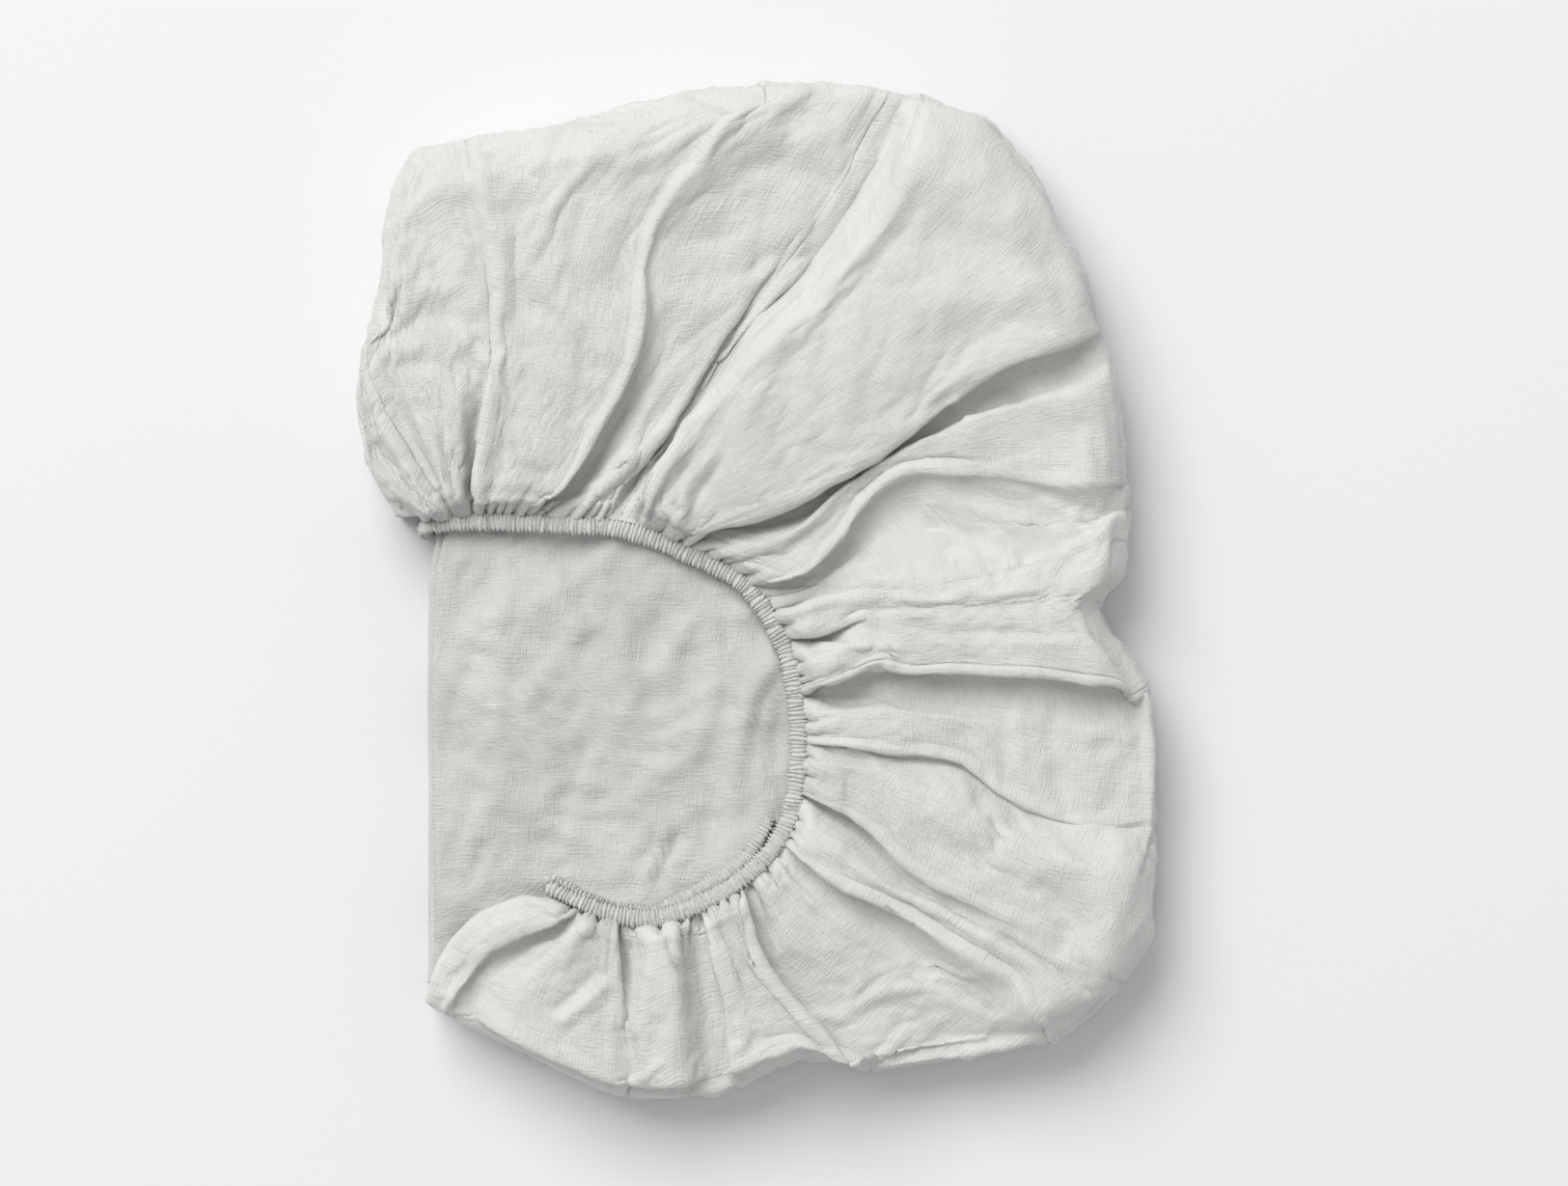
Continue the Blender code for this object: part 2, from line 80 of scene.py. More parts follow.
# The folds of the skirt, clockwise. Each runs over the top from the elastic to the rim, on a path
# in the photograph's pixels. A lap above 0 hangs over the next fold, below 0 back over the last.
# The floors are the width of the valley beside it. Heights of the cloth follow, then how far the
# edge's underside stands above the valley, how far out the near heights last, and how much of the
# rows' drop towards the rim it takes.
foldColumns = ("name", "path", "lapNear", "lapFar", "valleyNear", "valleyFar", "floorNear",
               "floorFar", "edgeNear", "edgeFar", "crestNear", "crestFar", "rise", "reach",
               "fall")
folds = (
    ("leftDip", ((466, 541), (450, 508), (428, 474), (402, 430), (386, 385), (380, 335)),
     0.0, 0.0, 47.0, 51.0, 5.0, 9.0, 48.5, 51.5, 55.5, 52.5, 0.5, 1.0, 0.8),
    ("leftPleat", ((491, 531), (492, 500), (498, 465), (505, 425), (508, 395), (510, 350),
                   (507, 290), (497, 220), (482, 146)),
     -4.0, 5.0, 45.0, 53.0, 3.5, 10.0, 52.5, 53.0, 54.5, 54.5, 1.0, 0.6, 0.8),
    ("tongueEdge", ((553, 528), (580, 512), (598, 490), (613, 458), (634, 424), (656, 380),
                    (668, 330), (673, 265), (700, 203), (745, 150), (790, 86)),
     5.0, -7.0, 43.0, 51.0, 5.0, 15.0, 54.5, 56.0, 48.0, 47.5, 1.5, 0.75, 0.8),
    ("seamLobeEdge", ((628, 541), (645, 512), (668, 480), (692, 446), (714, 412), (740, 370),
                      (778, 310), (818, 250), (862, 185), (905, 91)),
     1.5, -3.0, 42.5, 45.0, 5.0, 7.0, 47.3, 46.0, 44.0, 43.8, 0.5, 1.0, 0.8),
    ("tallLobeSide", ((664, 547), (671, 514), (686, 484), (703, 459), (720, 434), (744, 405),
                      (765, 382), (788, 357), (816, 332), (845, 301), (874, 262), (900, 225),
                      (925, 185), (945, 140), (955, 99)),
     -4.0, 7.0, 41.8, 42.3, 6.0, 10.0, 54.0, 53.0, 58.5, 57.0, 0.3, 0.8, 0.8),
    ("tallLobeEdge", ((708, 568), (730, 556), (752, 548), (800, 535), (830, 519), (862, 500),
                      (900, 479), (940, 449), (985, 418), (1010, 398), (1050, 383), (1100, 362),
                      (1140, 345)),
     5.5, 6.0, 44.0, 43.5, 3.5, 13.0, 55.0, 54.5, 52.5, 52.5, 1.0, 1.0, 0.8),
    ("wingEdge", ((786, 606), (815, 600), (845, 590), (868, 562), (890, 530), (912, 508),
                  (940, 493), (985, 489), (1050, 496), (1110, 503), (1172, 502)),
     4.0, -8.0, 44.0, 46.0, 18.0, 24.0, 53.0, 52.5, 45.0, 46.5, 3.0, 1.0, 0.8),
    ("sideTop", ((808, 634), (824, 631), (842, 622), (862, 617), (900, 613), (960, 613),
                 (1040, 606), (1110, 590), (1172, 560)),
     -2.0, 6.0, 44.5, 50.0, 3.0, 11.0, 52.0, 53.0, 54.5, 54.6, 1.0, 0.5, 0.8),
    ("sideLow", ((816, 660), (838, 660), (857, 656), (876, 650), (895, 643), (960, 640),
                 (1060, 634), (1142, 628)),
     2.0, -6.0, 44.0, 55.0, 2.5, 11.0, 52.0, 55.0, 56.0, 57.0, 1.0, 0.35, 0.8),
    ("fingerEdge", ((831, 716), (850, 709), (875, 703), (890, 696), (904, 691), (918, 695),
                    (944, 698), (982, 695), (1010, 698), (1059, 698), (1110, 706), (1150, 712),
                    (1196, 716)),
     3.5, 3.5, 43.0, 44.5, 18.0, 26.0, 55.0, 56.0, 48.5, 43.5, 0.8, 1.0, 4.0),
    ("ledgeEdge", ((835, 768), (860, 771), (880, 774), (907, 779), (932, 780), (960, 784),
                   (978, 784), (1007, 801), (1036, 820), (1069, 836), (1106, 846), (1150, 850),
                   (1198, 848)),
     4.5, -3.0, 45.0, 41.8, 1.5, 3.0, 49.5, 43.0, 53.0, 53.5, 1.0, 1.0, 3.5),
    ("armEdge", ((834, 822), (857, 834), (877, 842), (890, 850), (904, 862), (924, 884),
                 (950, 903), (1000, 930), (1050, 950), (1110, 980), (1160, 1020)),
     4.0, -7.0, 44.0, 48.5, 3.0, 11.0, 51.5, 52.5, 53.0, 53.0, 1.5, 0.7, 2.5),
    ("fanEdge", ((822, 878), (836, 894), (858, 908), (877, 920), (900, 930), (924, 938),
                 (945, 952), (960, 961), (985, 980), (1001, 988), (1050, 1020), (1085, 1080)),
     4.5, -8.0, 45.0, 43.8, 8.0, 18.0, 53.0, 54.0, 48.0, 42.5, 2.0, 0.8, 3.0),
    ("slit", ((772, 925), (778, 950), (789, 988), (803, 1008), (817, 1024), (835, 1044),
              (852, 1062), (880, 1090), (905, 1113)),
     -4.5, -4.0, 42.0, 42.0, 2.5, 3.0, 51.5, 51.0, 53.5, 51.5, 0.5, 1.0, 1.5),
    ("darkValley", ((728, 944), (740, 975), (749, 1010), (754, 1044), (757, 1079), (762, 1130)),
     3.5, 2.5, 41.6, 41.8, 8.0, 10.0, 52.5, 51.5, 53.0, 50.5, 0.5, 1.0, 0.8),
    ("smallPleat", ((637, 960), (642, 990), (643, 1020), (645, 1056), (648, 1100), (652, 1140)),
     -2.5, 5.0, 43.0, 49.0, 2.5, 9.0, 51.5, 50.0, 53.5, 51.5, 0.5, 0.7, 0.8),
    ("pouchDip", ((596, 942), (576, 958), (545, 968), (516, 982), (492, 1003), (470, 1044)),
     -2.5, -1.5, 43.0, 43.0, 6.0, 8.0, 50.0, 48.5, 50.5, 48.0, 0.5, 1.0, 0.8),
)

skirt = {
    "startPath": ((440, 548), (409, 534)),
    "endPath": ((577, 922), (545, 930), (517, 938), (490, 955), (470, 980), (455, 1005),
                (443, 1038)),
    "hemEnd": 400.0,
    "startHeight": 44.5,
    "startCrest": (53.0, 50.0),
    "endEdge": 46.8,            # the pouch's last fold, and the cloth turned back beneath it
    "endUnder": 42.3,
    "endLap": 10.0,
    "endTuck": 3.2,
    "hemHeight": 45.0,
    "lowest": 41.4,             # over the panel, as far as 45 mm from the hem
    "lowestUntil": 45.0,
    "hemOutward": 3.9,          # the hem starts inside the casing
    "shoulder": (5.0, 6.0),
    "shoulderRise": 0.8,        # of the way from the fold's edge up to the lobe's crest
    "shoulderRoom": 0.28,       # the most of a lobe's width that the shoulder takes
    "floorRoom": 0.42,          # and of a valley's width that its floor takes
    "hemSteps": (1.6, 0.6),     # how far apart the lines of a fold are on the elastic
    "rimSteps": (5.0, 1.2, 1.0),    # and on the rim, where the last is added to the floor
    "rimRooms": (0.25, 0.4),    # the most of a lobe's and a valley's width on the rim
    "leastSteps": (0.3, 0.8),   # between any two lines, on the elastic and the rim
    "relief": 1.36,             # of the heights in the table, measured from the bundle's top
    "lobeSpacing": 40.0,
    "lobeRound": 3.0,
    "rolledFrom": 1085.0,       # from here on the rim, the side shows a second roll of cloth
    "rolledOver": 50.0,
    "sideBase": 1.3,            # the side's top, above the stack
    "shoulderShare": 0.5,       # of the lobe's height above it, where the side begins
    "shoulderLowest": 38.0,
    "hemWeights": (3.0, 3.0, 2.6, 1.8),     # mesh rows are closer together at the casing
    "footWeights": (0.5, 0.35),
    "thickness": 0.9,
    "columns": 820,
    "rows": 124,
    # The skirt is made in three parts, which meet at the corner seam and under the finger's edge:
    # its name, where it starts on the rim, and the cut size of its cloth in metres.
    "parts": (("skirt_left", 0.0, (0.40, 0.19)), ("skirt_side", 401.0, (0.34, 0.17)),
              ("skirt_end", 739.0, (0.50, 0.17))),
}

# Rows of the skirt from the hem to the shoulder: how far out, the shares of the hem's height and
# the fold's near one, where the rest is its far one, and how much of the drop each takes
topColumns = ("out", "hem", "near", "drop")
topRows = (
    (0.00, 1.00, 0.00, 0.0),
    (0.015, 0.60, 0.40, 0.0),
    (0.035, 0.18, 0.82, 0.0),
    (0.07, 0.00, 1.00, 0.0),
    (0.13, 0.00, 1.00, 0.0),
    (0.22, 0.00, 0.98, 0.0),
    (0.32, 0.00, 0.88, 0.0),
    (0.43, 0.00, 0.66, 0.0),
    (0.55, 0.00, 0.35, 0.0),
    (0.66, 0.00, 0.12, 0.0),
    (0.77, 0.00, 0.00, 0.3),
    (0.89, 0.00, 0.00, 1.0),
)
topPlaces = np.array([row[0] for row in topRows])
# Rows down the side: share of the inset and height, plain and where a second roll shows below
sideColumns = ("inward", "height", "rolledInward", "rolledHeight")
sideRows = (
    (0.36, 0.0, 0.40, 0.0),
    (0.13, 37.0, 0.20, 37.5),
    (0.06, 29.0, 0.22, 28.0),
    (0.02, 19.0, 0.00, 14.0),
    (0.00, 9.0, 0.00, 7.0),
    (0.02, 3.0, 0.04, 3.0),
    (0.30, 1.0, 0.30, 1.0),
    (0.85, 1.0, 0.85, 1.0),
)


def fromPhoto(x, y):
    # A place on the bundle's top, in millimetres, from a pixel of the 1625 by 1229 photograph.
    middle = photo["middle"]
    return ((x - middle[0]) * photo["size"], (middle[1] - y) * photo["size"])


def smoothStep(value):
    share = np.clip(value, 0.0, 1.0)
    return share * share * (3.0 - 2.0 * share)


def rowOf(columns, values):
    return dict(zip(columns, values))


def smoothThrough(rows, knots, samples):
    # A smooth curve through rows at uneven knots, read at the samples.
    rows = np.asarray(rows, float)
    shape = (-1,) + (1,) * (rows.ndim - 1)
    step = np.diff(knots).reshape(shape)
    slope = np.diff(rows, axis=0) / step
    inner = (slope[:-1] * step[1:] + slope[1:] * step[:-1]) / (step[1:] + step[:-1])
    tangent = np.concatenate([slope[:1], inner, slope[-1:]])
    spot = np.clip(np.searchsorted(knots, samples, side="right") - 1, 0, len(knots) - 2)
    width = step[spot]
    t = ((samples - knots[spot]).reshape(shape)) / width
    a = rows[spot]
    b = rows[spot + 1]
    return (a * (2 * t ** 3 - 3 * t ** 2 + 1) + b * (3 * t ** 2 - 2 * t ** 3)
            + tangent[spot] * width * (t ** 3 - 2 * t ** 2 + t)
            + tangent[spot + 1] * width * (t ** 3 - t ** 2))


def curveThrough(points, perSpan=14):
    rows = np.asarray(points, float)
    knots = np.arange(len(rows), dtype=float)
    return smoothThrough(rows, knots, np.linspace(0.0, knots[-1], (len(rows) - 1) * perSpan + 1))


class PlanLine:
    # A smooth line in plan that is read by the distance along it.
    def __init__(self, points):
        self.points = curveThrough(points)
        steps = np.linalg.norm(np.diff(self.points, axis=0), axis=1)
        self.along = np.concatenate([[0.0], np.cumsum(steps)])
        self.length = self.along[-1]

    def at(self, distance):
        return np.array([np.interp(distance, self.along, self.points[:, i]) for i in (0, 1)])

    def nearest(self, place):
        steps = np.diff(self.points, axis=0)
        share = np.sum((place - self.points[:-1]) * steps, axis=1) / np.sum(steps ** 2, axis=1)
        share = np.clip(share, 0.0, 1.0)
        gaps = np.linalg.norm(self.points[:-1] + steps * share[:, None] - place, axis=1)
        best = int(np.argmin(gaps))
        return self.along[best] + share[best] * (self.along[best + 1] - self.along[best])

    def left(self, distance):
        run = self.at(min(distance + 4.0, self.length)) - self.at(max(distance - 4.0, 0.0))
        return np.array([-run[1], run[0]]) / np.hypot(*run)


rimLine = PlanLine(bundle["rim"])
hemLine = PlanLine(bundle["elastic"])


def insetAt(distance):
    start = smoothStep(distance / bundle["insetBlend"])
    end = smoothStep((rimLine.length - distance) / bundle["insetBlend"])
    inset = bundle["insetStart"] + (bundle["inset"] - bundle["insetStart"]) * start
    return bundle["insetEnd"] + (inset - bundle["insetEnd"]) * end


def lineOf(path):
    # A line over the top: its places on the elastic and the rim, and how far it bends from the
    # straight between them, row by row.
    places = np.array([fromPhoto(*pixel) for pixel in path])
    hem = hemLine.nearest(places[0])
    rim = rimLine.nearest(places[-1])
    start = hemLine.at(hem) + hemLine.left(hem) * skirt["hemOutward"]
    run = rimLine.at(rim) - start
    length = np.hypot(*run)
    out = np.concatenate([[0.0], (places[1:-1] - start) @ run / length ** 2, [1.0]])
    side = (places[1:-1] - start) @ np.array([-run[1], run[0]]) / length
    return {"hem": hem, "rim": rim,
            "bends": np.interp(topPlaces, out, np.concatenate([[0.0], side, [0.0]]))}


def planOf(line):
    # Where a line starts on the elastic, how it runs to the rim, and the way across it.
    hem = hemLine.at(line["hem"]) + hemLine.left(line["hem"]) * skirt["hemOutward"]
    run = rimLine.at(line["rim"]) - hem
    return hem, run, np.array([-run[1], run[0]]) / np.hypot(*run)


def gapsBetween(first, second):
    # How far apart two lines are, a fifth and three fifths of the way out and at the rim.
    outs = (0.2, 0.6)
    places = []
    for line in (first, second):
        hem, run, across = planOf(line)
        bends = np.interp(outs, topPlaces, line["bends"])
        places.append([hem + run * out + across * bend for out, bend in zip(outs, bends)])
    gaps = np.linalg.norm(np.array(places[0]) - np.array(places[1]), axis=1)
    return [*gaps, second["rim"] - first["rim"]]


def guideOn(line, near, far, shift=(0.0, 0.0), hemStep=0.0, rimStep=0.0, reach=1.0,
            fall=1.0):
    # The shift is across the line: near from a fifth of the way out, far from three quarters.
    aim = np.interp(topPlaces, (0.0, 0.07, 0.2, 0.45, 0.75, 1.0),
                    (-hemStep, 0.55 * shift[0], shift[0], 0.5 * (shift[0] + shift[1]), shift[1],
                     -rimStep))
    bends = line["bends"] + aim + hemStep * (1.0 - topPlaces) + rimStep * topPlaces
    return {
        "hem": line["hem"] + hemStep, "rim": line["rim"] + rimStep, "bends": bends,
        "near": near, "far": far, "tuck": 0.0, "hemHeight": skirt["hemHeight"], "reach": reach,
        "fall": fall,
    }


def lobeGuides(last, fold, crest):
    # The lines over the lobe between two folds, more of them where it is wide at the rim.
    count = max(1, round((fold["rim"] - last["rim"]) / skirt["lobeSpacing"]))
    lines = []
    for i in range(count):
        share = (i + 1) / (count + 1)
        line = {key: last[key] + (fold[key] - last[key]) * share for key in ("hem", "rim", "bends")}
        drop = skirt["lobeRound"] * (2.0 * share - 1.0) ** 2
        fall = (1.0 - share) * last.get("fall", 1.0) + share * fold.get("fall", 1.0)
        lines.append(guideOn(line, crest[0] - drop, crest[1] - drop, fall=fall))
    return lines


def foldGuides(fold, crest, lobeRoom, valleyRoom):
    # Four lines across a fold: the lobe's shoulder, its edge, the cloth beneath and the valley,
    # drawn in where there is little room.
    side = 1.0 if fold["lapNear"] >= 0.0 else -1.0
    low = fold["valleyNear"]
    deep = fold["valleyFar"]
    near = fold["edgeNear"]
    far = fold["edgeFar"]
    reach = (fold["reach"], fold["fall"])
    rise = skirt["shoulderRise"]
    hemWide, hemSlim = skirt["hemSteps"]
    rimWide, rimSlim, rimFloor = skirt["rimSteps"]
    lobeShare, valleyShare = skirt["rimRooms"]
    shoulder = [side * min(wide, skirt["shoulderRoom"] * room)
                for wide, room in zip(skirt["shoulder"], lobeRoom)]
    soft = side * fold["lapFar"] < 0.0
    floor = [-side * min(fold[key], skirt["floorRoom"] * room)
             for key, room in zip(("floorNear", "floorFar"), valleyRoom)]
    guides = [
        guideOn(fold, near + rise * (crest[0] - near), far + rise * (crest[1] - far), shoulder,
                -side * hemWide, -side * min(rimWide, lobeShare * lobeRoom[2]), *reach),
        guideOn(fold, near, far, (0.0, 0.0), -side * hemSlim, -side * rimSlim, *reach),
        guideOn(fold, low + fold["rise"], (deep + far) / 2 if soft else deep + fold["rise"],
                (fold["lapNear"], fold["lapFar"]), side * hemSlim, side * rimSlim, *reach),
        guideOn(fold, low, deep, floor, side * hemWide,
                side * min(rimFloor + abs(floor[1]), valleyShare * valleyRoom[2]), *reach),
    ]
    return guides if side > 0.0 else guides[::-1]


def allGuides():
    # Every line of the skirt, clockwise: its start, lobes and folds in turn, and the pouch's edge.
    last = lineOf(skirt["startPath"])
    last["hem"] = last["rim"] = 0.0
    end = lineOf(skirt["endPath"])
    end["hem"] = skirt["hemEnd"]
    end["rim"] = rimLine.length
    lines = [last]
    for values in folds:
        fold = rowOf(foldColumns, values)
        fold.update(lineOf(fold["path"]))
        lines.append(fold)
    lines.append(end)
    guides = [guideOn(last, skirt["startHeight"], skirt["startHeight"])]
    crest = skirt["startCrest"]
    for last, fold, after in zip(lines, lines[1:], lines[2:]):
        own = (fold["crestNear"], fold["crestFar"])
        rooms = (gapsBetween(last, fold), gapsBetween(fold, after))
        forward = fold["lapNear"] >= 0.0
        guides += lobeGuides(last, fold, crest)
        guides += foldGuides(fold, crest if forward else own, *(rooms if forward else rooms[::-1]))
        crest = own
    guides += lobeGuides(lines[-2], end, crest)
    guides.append(guideOn(end, skirt["endEdge"], skirt["endEdge"]))
    for before, guide in zip(guides, guides[1:]):
        for key, least in zip(("hem", "rim"), skirt["leastSteps"]):
            guide[key] = max(guide[key], before[key] + least)
    lap = (skirt["endLap"], skirt["endLap"])
    under = guideOn(end, skirt["endUnder"], skirt["endUnder"], lap)
    under["tuck"] = skirt["endTuck"]
    under["hemHeight"] = skirt["endUnder"]
    guides.append(under)
    return guides


def guidePoints(guide, stackTop):
    # One line of the skirt from its hem over the top, down the side and in under the bundle.
    hem, run, across = planOf(guide)
    edge = rimLine.at(guide["rim"])
    inward = -rimLine.left(guide["rim"])
    inset = insetAt(guide["rim"])
    rolled = float(smoothStep((guide["rim"] - skirt["rolledFrom"]) / skirt["rolledOver"]))
    nears = [row[1] + row[2] for row in topRows]
    points = []
    for values, bend in zip(topRows, guide["bends"]):
        row = rowOf(topColumns, values)
        place = hem + run * row["out"] + across * bend
        near = float(np.interp(row["out"] / guide["reach"], topPlaces, nears))
        height = (near - row["hem"]) * guide["near"] + (1.0 - near) * guide["far"]
        height = stackTop + skirt["relief"] * (height - (1.0 - row["hem"]) * stackTop)
        height += row["hem"] * (guide["hemHeight"] - stackTop) - row["drop"] * guide["fall"]
        points.append((place[0], place[1], height))
    base = stackTop + skirt["sideBase"]
    for i, values in enumerate(sideRows):
        row = rowOf(sideColumns, values)
        share = row["inward"] + (row["rolledInward"] - row["inward"]) * rolled
        height = row["height"] + (row["rolledHeight"] - row["height"]) * rolled
        if i == 0:
            height = base + skirt["shoulderShare"] * skirt["relief"] * (guide["far"] - base)
            height = max(height - guide["fall"], skirt["shoulderLowest"])
        place = edge + inward * (inset * share + guide["tuck"])
        points.append((place[0], place[1], height))
    return points


def knotsOf(grid, axis):
    # Even spacing for the curves, from the mean distance between neighbouring lines.
    steps = np.linalg.norm(np.diff(grid, axis=axis), axis=2)
    steps = steps.mean(axis=1 - axis)
    return np.concatenate([[0.0], np.cumsum(np.sqrt(steps))]), steps


def evenSamples(knots, weights, count):
    # So many samples, spread by the weights of the spans.
    reach = np.concatenate([[0.0], np.cumsum(weights)])
    return np.interp(np.linspace(0.0, reach[-1], count), reach, knots)


def skirtSurface(columns, rows):
    # The skirt before it is crumpled, and each column's place on the elastic and the rim.
    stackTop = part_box("main_panel")[1].z / mm
    guides = allGuides()
    lines = np.array([guidePoints(guide, stackTop) for guide in guides])
    facts = np.array([(guide["hem"], guide["rim"]) for guide in guides])
    downKnots, downSteps = knotsOf(lines, 1)
    weights = np.ones(len(downSteps))
    weights[:len(skirt["hemWeights"])] = skirt["hemWeights"]
    weights[-len(skirt["footWeights"]):] = skirt["footWeights"]
    downSamples = evenSamples(downKnots, downSteps * weights, rows)
    lines = smoothThrough(lines.transpose(1, 0, 2), downKnots, downSamples).transpose(1, 0, 2)
    acrossKnots, acrossSteps = knotsOf(lines, 0)
    samples = evenSamples(acrossKnots, acrossSteps, columns)
    grid = smoothThrough(lines, acrossKnots, samples)
    where = np.stack([np.interp(samples, acrossKnots, facts[:, i]) for i in (0, 1)], axis=1)
    return grid, where


def gridNormals(grid):
    normals = np.cross(np.gradient(grid, axis=0), np.gradient(grid, axis=1))
    return normals / np.maximum(np.linalg.norm(normals, axis=2, keepdims=True), 1e-9)


def alongRows(grid):
    steps = np.linalg.norm(np.diff(grid, axis=1), axis=2)
    return np.concatenate([np.zeros((len(grid), 1)), np.cumsum(steps, axis=1)], axis=1)


# Small pleats where the skirt leaves the casing: the elastic draws the cloth in to a third.
gathers = {
    "seed": 11,
    "pitch": 7.0,
    "depth": (1.4, 3.4),
    "width": (0.65, 1.05),
    "reach": (6.0, 19.0),
    "longShare": 0.12,          # some run on far into the lobes
    "longReach": (28.0, 55.0),
    "longWidth": 1.8,
    "longDepth": 0.5,
    "spacing": (0.45, 1.6),     # of the pitch
    "curl": 1.5,
    "curlFade": 12.0,
    "slant": 0.07,
    "bulge": (0.8, 2.4),
    "bulgeReach": 8.0,
}


def gatherHeights(hem, along):
    # Puckers beside the elastic: narrow curled grooves with a rounded bulge between each two.
    draw = np.random.default_rng(gathers["seed"])
    height = np.zeros_like(along)
    last = 0.0
    place = 4.0
    while place < skirt["hemEnd"] - 2.0:
        depth = draw.uniform(*gathers["depth"])
        width = draw.uniform(*gathers["width"])
        reach = draw.uniform(*gathers["reach"])
        if draw.random() < gathers["longShare"]:
            reach = draw.uniform(*gathers["longReach"])
            width *= gathers["longWidth"]
            depth *= gathers["longDepth"]
        curl = draw.uniform(-gathers["curl"], gathers["curl"]) * np.sin(along / 4.0)
        curl *= np.exp(-along / gathers["curlFade"])
        centre = place + draw.uniform(-gathers["slant"], gathers["slant"]) * along + curl
        gap = (hem[:, None] - centre) / (width * (1.0 + along / 30.0))
        height -= depth * np.exp(-gap ** 2 - (along / reach) ** 2) * smoothStep(0.3 + along / 2.0)
        share = np.clip((hem - last) / (place - last), 0.0, 1.0)[:, None]
        height += (draw.uniform(*gathers["bulge"]) * (1.0 - (2.0 * share - 1.0) ** 2)
                   * np.exp(-((along - 4.0) / gathers["bulgeReach"]) ** 2))
        last = place
        place += gathers["pitch"] * draw.uniform(*gathers["spacing"])
    return height


# Soft crumple of washed linen: ridges and dents with no direction, in four sizes
crumple = {
    "seed": 7,
    "sizes": (46.0, 21.0, 9.5, 5.0),
    "heights": (1.4, 0.85, 0.46, 0.16),
    "sideSeed": 17,
    "sideSizes": (34.0, 15.0, 7.0),     # the sides hang free and crumple more
    "sideHeights": (3.3, 2.0, 0.5),
    "sideSqueeze": 0.45,        # below 1 the sides' folds stand upright
    "sideInward": 1.4,
    "sideFoot": (2.0, 8.0),     # heights where the sides' own crumple starts, and over how much
    "sideTop": (40.0, 10.0),
    "foot": (6.0, 20.0),
    "hemFade": 25.0,
}


def crumpleAt(points, seed, heights, sizes):
    # Folded noise, whose zero lines are the ridges, bent a little so that no ridge runs straight.
    offset = Vector((seed * 13.7, seed * 5.1, seed * 3.3))
    flat = points.reshape(-1, 3)
    out = np.zeros(len(flat))
    for i, p in enumerate(flat):
        v = Vector(p)
        total = 0.0
        for size, height in zip(sizes, heights):
            q = v / size + offset
            bend = noise.noise(q * 0.7 + offset) * 0.6
            q.x += bend
            q.y -= bend
            total += height * (0.5 - abs(noise.noise(q)) * 1.6)
        out[i] = total
    return out.reshape(points.shape[:2])


